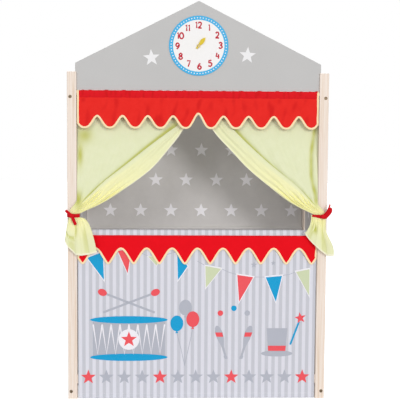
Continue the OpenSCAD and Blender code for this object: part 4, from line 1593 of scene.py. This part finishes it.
    def _hat(self, inks: dict[str, Print], x: float, z: float) -> None:
        """Draws a tall hat with a band and a wand with a star.

        Args:
            inks: The prints to draw in, by ink.
            x: Middle of the drawing.
            z: Height of the drawing's middle.
        """
        grey, red, blue = (inks["ink_" + c] for c in ("grey", "red", "blue"))
        grey.shape([(x - 34, z + 44), (x + 34, z + 44), (x + 28, z - 34), (x - 28, z - 34)])
        grey.disc(x, z - 40, 52, 10, segments=36)
        red.shape([(x - 29.5, z - 14), (x + 29.5, z - 14), (x + 28.2, z - 31), (x - 28.2, z - 31)])
        blue.line([(x + 44, z - 10), (x + 72, z + 66)], 6)
        red.star(x + 76, z + 78, 19, 10)


@dataclass
class BackCloths:
    """Grey back and side cloths with rows of pale stars.

    RAIL_SLEEVE and SIDE_SLEEVE run round the rails that carry the cloths, the first as y and z, the
    second as x and z. SIDE_HEM turns the side cloth's lower edge up, as a distance outwards and z.
    """

    palette: Palette
    half: float = 389.0
    back_depth: float = 340.0
    back_top: float = 943.5
    back_fall: float = 410.7
    rod_z: float = 527.0
    rod_wrap_r: float = 5.9
    side_half: float = 399.1
    side_top: float = 969.0
    side_fall: float = 956.0
    side_front: float = 25.0
    sleeve_front: float = 39.0
    side_rear: float = 325.0
    belly_in: float = 11.5
    cloth_t: float = 1.2
    star_r: float = 26.3
    star_lift: float = 0.4
    pitch: float = 108.5
    back_rows: tuple[float, ...] = (914.5, 807, 700, 590)
    back_first_x: float = -358.0
    side_first_z: float = 915.0
    side_stars: tuple[tuple[float, float], ...] = ((91.5, 200), (145.7, 254.2))

    RAIL_SLEEVE = ((341.2, 944.1), (349.6, 944.1), (350.9, 945.4), (350.9, 960), (350.9, 974.6),
                   (349.6, 975.9), (340, 975.9), (330.4, 975.9), (329.1, 974.6), (329.1, 960),
                   (329.1, 945.4), (330.4, 944.1), (338, 944.1), (339.6, 943.7))
    SIDE_SLEEVE = ((408, 969.1), (419.6, 969.1), (420.9, 970.4), (420.9, 985), (420.9, 999.6),
                   (419.6, 1000.9), (410, 1000.9), (400.4, 1000.9), (399.1, 999.6), (399.1, 985),
                   (399.1, 971))
    SIDE_HEM = ((0.4, 13), (1.2, 13), (1.5, 13.8), (1.4, 20), (1.4, 27))

    def back_y(self, x: float, z: float) -> float:
        """Depth of the back cloth's mid-surface.

        Args:
            x: Distance to the audience's right.
            z: Height above the floor.

        Returns:
            The depth.
        """
        t = min(1.0, max(0.0, (self.back_top - z) / self.back_fall))
        waves = sin_deg(360 * x / 260 + 60 * t) + 0.5 * sin_deg(360 * x / 97)
        lumps = noise(Vector((x / 70, z / 120, 9)))
        return self.back_depth - sin_deg(180 * t) * (3 * waves + 1.5 * lumps)

    def back_section(self, x: float) -> list[Point]:
        """Path of the back cloth: round the top rail, down, and round the hem rod.

        Args:
            x: Distance to the audience's right.

        Returns:
            The path as y and z.
        """
        path = [*self.RAIL_SLEEVE]
        path += [(self.back_y(x, z), z) for z in steps(942.5, 533.6, 44)]
        for angle in range(105, 436, 22):
            path.append((self.back_depth + self.rod_wrap_r * math.cos(math.radians(angle)),
                         self.rod_z + self.rod_wrap_r * sin_deg(angle)))
        return path

    def side_x(self, y: float, z: float, side: int) -> float:
        """Distance of the side cloth from the middle; the left one bellies in at the back.

        Args:
            y: Depth behind the front of the posts.
            z: Height above the floor.
            side: -1 for the left cloth and 1 for the right one.

        Returns:
            The distance.
        """
        t = min(1.0, max(0.0, (self.side_top - z) / self.side_fall))
        waves = sin_deg(360 * y / 260 + 60 * t) + 0.5 * sin_deg(360 * y / 97)
        belly = 0.0
        if side < 0:
            belly = smooth((y - 255) / 60) * smooth((900 - z) / 90) * smooth((z - 400) / 90)
        inwards = max(0.0, 2 * sin_deg(180 * t) * waves)
        return self.side_half - inwards * (1 - belly) - self.belly_in * belly

    def build(self) -> None:
        """Builds the three cloths with their stars."""
        xs = steps(-self.half, self.half, 110)
        grid = [[place(x, y, z) for y, z in self.back_section(x)] for x in xs]
        back = grid_cloth("back_cloth_hung", grid, self.palette["grey"], self.cloth_t)
        on_root(back, "back_cloth")
        stars = Print()
        for row, z in enumerate(self.back_rows):
            start = self.back_first_x + (0 if row % 2 == 0 else self.pitch / 2)
            for i in range(8):
                x = start + self.pitch * i
                if abs(x) < self.half - 20:
                    stars.star(x, z, self.star_r)
        skin = self.cloth_t / 2
        printed = on_root(stars.lay("back_cloth_stars", self.palette["ink_star"],
                                    lambda x, z, lift: place(x, self.back_y(x, z) - skin - lift, z),
                                    self.star_lift))
        for side, word in ((-1, "left"), (1, "right")):
            self._side(side, word)

    def _side(self, side: int, word: str) -> None:
        """Builds one side cloth with its stars.

        Args:
            side: -1 for the left cloth and 1 for the right one.
            word: The side as a word.
        """
        columns = []
        for i in range(49):
            share = i / 48 if side > 0 else 1 - i / 48
            column = [place(side * x, lerp(self.sleeve_front, self.side_rear, share), z)
                      for x, z in self.SIDE_SLEEVE]
            for z in steps(966, 13.6, 70):
                front = lerp(self.sleeve_front, self.side_front, smooth((966 - z) / 20))
                y = lerp(front, self.side_rear, share)
                column.append(place(side * self.side_x(y, z, side), y, z))
            y = lerp(self.side_front, self.side_rear, share)
            column += [place(side * (self.side_half + out), y, z) for out, z in self.SIDE_HEM]
            columns.append(column)
        cloth = grid_cloth(f"side_cloth_{word}_hung", columns, self.palette["grey"],
                           self.cloth_t)
        on_root(cloth, f"side_cloth_{word}")
        stars = Print()
        for row in range(9):
            for y in self.side_stars[row % 2]:
                stars.star(y, self.side_first_z - self.pitch * row, self.star_r)
        skin = self.cloth_t / 2
        printed = stars.lay(
            f"side_cloth_{word}_stars", self.palette["ink_star"],
            lambda y, z, lift: place(side * (self.side_x(y, z, side) - skin - lift), y, z), self.star_lift)
        self._face_in(printed, side)
        on_root(printed)

    def _face_in(self, piece: bpy.types.Object, side: int) -> None:
        """Turns the faces of a side print towards the stage.

        Args:
            piece: The print.
            side: -1 for the left one and 1 for the right one.
        """
        mesh = bmesh.new()
        mesh.from_mesh(piece.data)
        for face in mesh.faces:
            face.normal_update()
            if face.normal.x * side > 0:
                face.normal_flip()
        mesh.to_mesh(piece.data)
        mesh.free()


@dataclass
class Curtain:
    """Lime curtain on its rod, drawn aside and tied to the front post; the left one is mirrored.

    TUCKS holds the left curtain's tucks beside the post: how deep each is, its distance from the
    outer edge, how wide it is, its height, and how tall it is.
    """

    palette: Palette
    side: int
    rod_y: float = 30.0
    rod_z: float = 992.8
    outer_x: float = 389.0
    free_x: float = 3.0
    wrap_r: float = 5.0
    top_z: float = 987.8
    end_z: float = 608.3
    bundle_y: float = -8.3
    bundle_in: float = 376.0
    tie_z: float = 603.0
    cloth_t: float = 0.9
    travel: float = 250.0
    rows: int = 120
    columns: int = 260
    tail_top: float = 597.7
    tail_rows: int = 52
    tail_columns: int = 260
    ribbon_t: float = 0.8
    end_t: float = 0.7

    TUCKS = ((0.8, 24, 24, 860, 24), (0.95, 9, 9, 796, 34), (1.0, 4, 13, 654, 28))

    @property
    def word(self) -> str:
        """The side as a word."""
        return "right" if self.side > 0 else "left"

    @property
    def handles(self) -> tuple[float, float, float, float]:
        """Handles of the curtain's sweep: two shares of its width for x, two of its fall for z."""
        return (0.97, 0.47, 0.35, 0.24) if self.side > 0 else (0.84, 0.65, 0.49, 0.34)

    def point(self, x: float, y: float, z: float) -> Vector:
        """A point of this curtain, mirrored for the left one."""
        return place(self.side * x, y, z)

    def fold_line(self, z: float) -> float:
        """Share across the curtain where its pulled band folds over the flat part, at that height."""
        w = min(1.0, max(0.0, (892 - z) / 282))
        return 0.83 - 0.25 * w - 0.55 * w**3 if self.side > 0 else 0.93 - 0.64 * w - 0.26 * w**6

    def tuck(self, off: float, t: float, z: float) -> float:
        """How deep, from 0 to 1, the cloth is tucked in beside the post at a distance off it.

        Args:
            off: Distance from the edge beside the post.
            t: Share of the way down, from the rod to the tie.
            z: Height above the floor.

        Returns:
            The depth as a share.
        """
        if self.side > 0:
            middle = 8 + 13 * smooth((t - 0.18) / 0.3) - 15 * smooth((t - 0.6) / 0.25)
            spot = (off - middle) / 6.5
            uneven = 0.8 + 0.35 * noise(Vector((t * 14, 3.0, 1.0)))
            return uneven * math.exp(-spot * spot) * smooth((t - 0.08) / 0.1) * (
                1 - smooth((t - 0.84) / 0.12))
        return min(1.0, sum(deep * math.exp(-((off - x) / wide) ** 2 - ((z - height) / tall) ** 2)
                            for deep, x, wide, height, tall in self.TUCKS))

    def relief(self, u: float, t: float, z: float, off: float) -> tuple[float, float]:
        """Shift to the side and forward of the folds at a point of the plain sweep.

        Args:
            u: Share across, from the post to the free edge.
            t: Share of the way down, from the rod to the tie.
            z: Height of the point.
            off: Distance from the edge beside the post.

        Returns:
            How far the cloth moves away from the stage's middle, and how far forward.
        """
        line = self.fold_line(z)
        shown = smooth((t - 0.1) / 0.15)
        band = min(1.0, max(0.0, (u - line) / max(0.05, 1 - line)))
        lap = (u - line) / 0.05
        ending = 1 - smooth((t - 0.74) / 0.22)
        aside = (9 if self.side < 0 else 11) * shown * (1 - smooth((t - 0.66) / 0.24)) * (
            math.sin(math.pi * lap) * (1 - lap * lap) * 1.6 if abs(lap) < 1 else 0.0)
        forward = shown * ending * (
            6.5 * smooth(lap * 0.8 + 0.5) * (1 - 0.75 * smooth((band - 0.35) / 0.65))
            - 2.5 * math.exp(-((lap + 1.2) / 1.1) ** 2))
        forward += shown * band * (1 - band) * 7 * ending * sin_deg(
            360 * (2.6 * band + 0.5 * t) + 40 * self.side)
        warped = u + 0.018 * sin_deg(830 * u + 50 * self.side)
        pulled = smooth((t - 0.62) / 0.26) * (1 - 0.8 * smooth((t - 0.84) / 0.16))
        forward += lerp(1.2, 3.6, smooth(lap * 0.3)) * pulled * sin_deg(360 * 7.5 * warped)
        forward += 1.6 * (1 - smooth((t - 0.05) / 0.3)) * sin_deg(3240 * u)
        forward -= (6.5 if self.side > 0 else 3.5) * self.tuck(off, t, z)
        broad = noise(Vector((u * 11, t * 3.2, self.side * 7.0)))
        fine = noise(Vector((u * 30, t * 9, 2.0)))
        return aside, forward + 1.5 * sin_deg(180 * t) * (broad + 0.4 * fine)

    def drape(self, u: float, t: float) -> tuple[float, float, float]:
        """The curtain's mid-surface above the ribbon.

        Args:
            u: Share across, from the post to the free edge.
            t: Share of the way down, from the rod to the tie.

        Returns:
            The point as x, y and z, before the left curtain is mirrored.
        """
        reach = self.outer_x - self.free_x
        fall = self.top_z - self.end_z
        high, low, steep, late = self.handles
        end_x = lerp(self.outer_x, self.bundle_in + (1 if self.side > 0 else 6), u)
        across = u * reach
        x = bezier(self.outer_x - across, self.outer_x - across * high, self.outer_x - across * low,
                   end_x, t) + 26 * (1 - u) * smooth((t - 0.87) / 0.13)
        z = bezier(self.top_z, self.top_z - fall * steep, self.end_z + fall * late, self.end_z, t)
        x += u**3 * (7.5 * math.exp(-((z - 812) / 48) ** 2)
                     - 10 * math.exp(-((z - 648) / 36) ** 2) * (1 - smooth((t - 0.92) / 0.08)))
        aside, forward = self.relief(u, t, z, self.outer_x - x)
        return x + aside, lerp(self.rod_y, self.bundle_y, min(1.0, t / 0.94) ** 1.15) - forward, z

    def build(self) -> None:
        """Builds the curtain, its tail and its ribbon."""
        self._curtain()
        self._tail()
        self._ribbon()

    def _curtain(self) -> None:
        """Builds the part above the ribbon, which slides on the rod."""
        shares = steps(0, 1, self.columns)
        turned = [1 - s for s in (0.006, 0.014, 0.022, 0.03, 0.036)]
        columns, shades = [], []
        for number, u in enumerate(shares + turned):
            behind = 1.5 if number > self.columns else 0.0
            top_x = self.outer_x - u * (self.outer_x - self.free_x)
            wrap = self.wrap_r + behind
            column = [self.point(top_x, self.rod_y + wrap * math.cos(math.radians(a)),
                                 self.rod_z + wrap * sin_deg(a)) for a in range(-80, 251, 22)]
            shade = [(0.0, 0.0, 0.0)] * len(column)
            for j in range(self.rows + 1):
                t = j / self.rows
                x, y, z = self.drape(u, t)
                column.append(self.point(x, y + behind * sin_deg(90 * min(1.0, 4 * t)), z))
                shade.append(self._shade(u, t, z, self.outer_x - x))
            columns.append(column)
            shades.append(shade)
        if self.side > 0:
            columns.reverse()
            shades.reverse()
        name = f"curtain_{self.word}_drawn"
        cloth = grid_cloth(name, columns, self.palette["lime"], self.cloth_t, shades)
        body = f"curtain_{self.word}"
        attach(cloth, body)
        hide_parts(body)
        self.point(self.free_x, 0, self.rod_z)
        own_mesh(cloth)
        LOG.info("piece %s", name)

    def _shade(self, u: float, t: float, z: float, off: float) -> tuple[float, float, float]:
        """How much painted shade of creases, painted light of gathers and paler painted hem the cloth gets
        at a point.

        Args:
            u: Share across, from the post to the free edge.
            t: Share of the way down, from the rod to the tie.
            z: Height above the floor.
            off: Distance from the edge beside the post.

        Returns:
            The three shares, each from 0 to 1.
        """
        # Painted shade along the fold line and in the tucks beside the post, painted light on the pulled
        # band and towards the tie, and the free edge painted paler as a hem
        lap = (u - self.fold_line(z)) / 0.05
        crease_shade = 0.9 * math.exp(-((lap + 0.75) / 0.6) ** 2) * smooth((t - 0.12) / 0.1) * (
            1 - 0.7 * smooth((t - 0.84) / 0.12))
        band = smooth((u - self.fold_line(z)) / 0.08) * smooth((t - 0.12) / 0.15)
        gathered = band * lerp(0.35, 1.0, smooth((t - 0.3) / 0.6)) + 0.8 * smooth((t - 0.8) / 0.15)
        return max(crease_shade, 0.95 * self.tuck(off, t, z)), min(1.0, gathered), smooth((u - 0.985) / 0.008)

    def _hem(self) -> tuple[Sequence[float], Sequence[float]]:
        """Lower edge of the tail: offsets from the bundle's middle and shares of its length.

        Returns:
            The offsets and the shares.
        """
        if self.side > 0:
            return (-48, -33, -14, 6, 26, 47), (0.43, 0.59, 0.74, 0.88, 1, 1)
        return (-70, -46, -22, -2, 22, 32), (0.92, 0.98, 1, 0.99, 0.8, 0.64)

    def _layer(self, u: float) -> tuple[float, float, int]:
        """Share across, depth and number of the tail's layer at a share u of the cloth's width.

        Args:
            u: Share across, from the post to the free edge.

        Returns:
            The layer's share across, its depth and its number.
        """
        depth = -19.5 + 6.5 * smooth((u - 0.38) / 0.07) + 6 * smooth((u - 0.7) / 0.07)
        if u < 0.42:
            return u / 0.42, depth, 0
        if u < 0.74:
            return 1 - 0.8 * (u - 0.42) / 0.32, depth, 1
        return 0.2 + 0.7 * (u - 0.74) / 0.26, depth, 2

    def _puff(self, w: float, t: float) -> float:
        """Distance from the middle of the pocket under the left ribbon's hanging end; 1 is its rim."""
        return math.hypot((w - 0.84) / 0.3, (t - 0.3) / 0.36)

    def _dimple(self, w: float, t: float) -> float:
        """How deep, from 0 to 1, the right tail is pressed in below the ribbon's inner end."""
        return math.exp(-((w - 0.28) / 0.12) ** 2 - ((t - 0.45) / 0.16) ** 2)

    def _tail_relief(self, w: float, t: float, layer: int) -> float:
        """How far the tail's folds stand forward of its layer.

        Args:
            w: Share across the layer.
            t: Share of the way down the tail.
            layer: Number of the layer; 0 is the front one.

        Returns:
            The distance forward.
        """
        opened = smooth(1.6 * t)
        if layer:
            return lerp(1.6, 4.4, opened) * sin_deg(360 * 5 * w + 50 * layer)
        neck = 1.7 * (1 - smooth(t / 0.5)) * sin_deg(360 * 8 * w)
        if self.side < 0:
            puff = self._puff(w, t)
            lobe = 3.0 * (1 - smooth(puff)) - 4.2 * math.exp(-((puff - 1.0) / 0.15) ** 2)
            calm = 1 - 0.8 * smooth((1.5 - puff) / 0.5)
            broad = lerp(1, 3.2, opened) * sin_deg(360 * 2.2 * w + 70) * calm
            return neck + lobe + broad
        dimple = -4.5 * self._dimple(w, t)
        fine = 1.6 * (1 - smooth(t / 0.75)) * sin_deg(360 * 10 * w) * (1 - smooth((w - 0.3) / 0.2))
        return neck + dimple + fine + lerp(1, 3.6, opened) * sin_deg(360 * 1.9 * w + 150)

    def _tail(self) -> None:
        """Builds the tail under the ribbon: three layers of cloth that open towards the hem."""
        hem_x, hem_z = self._hem()
        middle = self.bundle_in + 18
        neck_w = 40 if self.side > 0 else 32
        columns, shades = [], []
        for i in range(self.tail_columns + 1):
            w, depth, layer = self._layer(i / self.tail_columns)
            neck_x = (w - 0.5) * (54 if self.side > 0 and w < 0.5 else neck_w)
            neck_x += 0 if self.side > 0 else 5 - 5 * w
            column, shade = [], []
            for j in range(-3, self.tail_rows + 1):
                t = max(0.0, j / self.tail_rows)
                opened = smooth(1.6 * t)
                relief = self._tail_relief(w, t, layer)
                spread = (lerp(t**1.8, smooth((t - 0.25) / 0.65), w) if self.side > 0
                          else t ** lerp(0.35, 0.48, w))
                x = lerp(neck_x, along(hem_x, w), spread)
                y = lerp(self.bundle_y + (depth + 13) * 0.3, depth, opened)
                y -= relief * lerp(0.6, 1, smooth(8 * t))
                fall = t * (-5.3 + 127 * along(hem_z, w) - 2.5 * layer) if j >= 0 else 3.4 * j
                column.append(self.point(middle + x, y, self.tail_top - fall))
                # Painted shade in the folds' hollows, on the pocket's rim and in the dimple; painted light
                # on the gathered neck; the hem at the foot painted paler
                crease_shade = 0.7 * smooth((-relief - 0.8) / 2.5) * (1 - 0.6 * t)
                if not layer:
                    rim = math.exp(-((self._puff(w, t) - 1) / 0.13) ** 2) * smooth(t / 0.1)
                    crease_shade = max(crease_shade, 0.6 * rim if self.side < 0 else self._dimple(w, t))
                shade.append((crease_shade, 1 - 0.7 * smooth(t / 0.8), smooth((t - 0.95) / 0.02)))
            x, y, z = column[-1] / MM
            column += [Vector((x, y + dy, z + dz)) * MM
                       for dy, dz in ((0.7, -0.6), (1.4, 0.0), (1.4, 5.0))]
            columns.append(column)
            shades.append(shade + [(0.0, 0.0, 1.0)] * 3)
        if self.side < 0:
            columns.reverse()
            shades.reverse()
        tail = grid_cloth(f"curtain_tail_{self.word}_gathered", columns, self.palette["lime"],
                          self.cloth_t, shades)
        on_root(tail, f"curtain_tail_{self.word}")

    def _ribbon(self) -> None:
        """Builds the ribbon's loop, its knot and its two ends."""
        corners = [Vector((x, y)) for x in (390, 420) for y in (0, 20)]
        for cx in (376.5 if self.side > 0 else 386.5, 406):
            corners += [Vector((cx + 6 * math.cos(math.tau * i / 24),
                                self.bundle_y + 6 * math.sin(math.tau * i / 24)))
                        for i in range(24)]
        hull = [corners[i] for i in convex_hull_2d(corners)]
        loop = self._rounded(hull, 0.9)
        columns = []
        for p in loop + loop[:1]:
            near = smooth((p.x - 378) / 26) if p.y < 0 else 0.5
            high = lerp(3.4, 6.4, near) if self.side > 0 else lerp(6.2, 5.0, near)
            mid = self.tie_z + lerp(2.2, -1.2, near) * (1 if self.side > 0 else 0.3)
            columns.append([self.point(p.x, p.y + 0.7 * sin_deg(720 * s) * near, mid + high * (1 - 2 * s))
                            for s in steps(0, 1, 10)])
        if self.side > 0:
            columns.reverse()
        band = grid_cloth(f"curtain_tie_{self.word}_tied", columns, self.palette["ribbon"],
                          self.ribbon_t)
        on_root(band, f"curtain_tie_{self.word}")
        knot = bmesh.new()
        bmesh.ops.create_icosphere(knot, subdivisions=3, radius=1.0)
        for corner in knot.verts:
            c = corner.co
            swell = 1 + 0.12 * noise(c * 2.4) - 0.14 * math.exp(-((c.x * 3.2) ** 2))
            corner.co = self.point(405 + 8 * c.x * swell, -18.4 + 4.6 * c.y * swell,
                                   self.tie_z + 7.5 * c.z * swell)
        bmesh.ops.recalc_face_normals(knot, faces=knot.faces)
        pieces = [add_piece(f"curtain_tie_{self.word}_knot", knot, self.palette["ribbon"])]
        for number, (path, wide, rounded) in enumerate(self._ends()):
            pieces.append(self._end(number, path, wide, rounded))
        for piece in pieces:
            on_root(piece)

    def _ends(self) -> tuple[tuple[Sequence[Point], float, float], ...]:
        """The ribbon's free ends: path as x and z, width, and share by which the tip is rounded.

        Returns:
            The two ends.
        """
        if self.side > 0:
            return (((408, 602), (421, 612), (430, 632)), 17, 0.7), (
                ((412, 612), (422, 628), (426, 643)), 4.5, 0.1)
        return (((407, 606), (415, 614), (424, 621)), 9, 0.2), (
            ((402, 600), (398, 588), (391, 574)), 10, 0.2)

    def _rounded(self, hull: Sequence[Vector], gap: float) -> list[Vector]:
        """Points round a hull at an even distance outside it.

        Args:
            hull: Corners of the hull.
            gap: The distance.

        Returns:
            The points.
        """
        made = []
        centre = sum(hull, Vector((0, 0))) / len(hull)
        for i, spot in enumerate(hull):
            before, after = hull[i - 1], hull[(i + 1) % len(hull)]
            for a, b in ((before, spot), (spot, after)):
                way = (b - a).normalized()
                out = Vector((way.y, -way.x))
                if out.dot(spot - centre) < 0:
                    out = -out
                made.append(spot + out * gap)
        return made

    def _end(self, number: int, path: Sequence[Point], wide: float, rounded: float) -> bpy.types.Object:
        """Builds one free end of the ribbon along a path of x and z.

        Args:
            number: Number of the end.
            path: Start, handle and tip.
            wide: Its width.
            rounded: Share by which its tip is rounded.

        Returns:
            The end as one piece.
        """
        (ax, az), (bx, bz), (cx, cz) = path
        columns = []
        for s in steps(0, 1, 20):
            x = (1 - s) ** 2 * ax + 2 * s * (1 - s) * bx + s * s * cx
            z = (1 - s) ** 2 * az + 2 * s * (1 - s) * bz + s * s * cz
            way = Vector((lerp(bx - ax, cx - bx, s), lerp(bz - az, cz - bz, s))).normalized()
            bow = -19.5 - 2.5 * sin_deg(180 * s) + 1.2 * sin_deg(360 * s)
            here = wide * (1 - rounded * max(0.0, (s - 0.7) / 0.3) ** 2)
            columns.append([self.point(x - way.y * here * v, bow + 1.4 * (4 * v * v - 0.5),
                                       z + way.x * here * v) for v in steps(-0.5, 0.5, 8)])
        return grid_cloth(f"curtain_tie_{self.word}_end_{number}", columns, self.palette["ribbon"],
                          self.end_t)


def main() -> None:
    """Builds the theatre in order."""
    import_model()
    Studio().build()
    palette = Palette()
    for part in (Frame(palette), Gable(palette), Valance(palette), StageValance(palette),
                 FrontCloth(palette), BackCloths(palette), Curtain(palette, -1), Curtain(palette, 1)):
        part.build()
        LOG.info("built %s", type(part).__name__)
    bpy.context.view_layer.update()


if __name__ == "__main__":
    logging.basicConfig(level=logging.INFO, format="%(message)s")
    main()
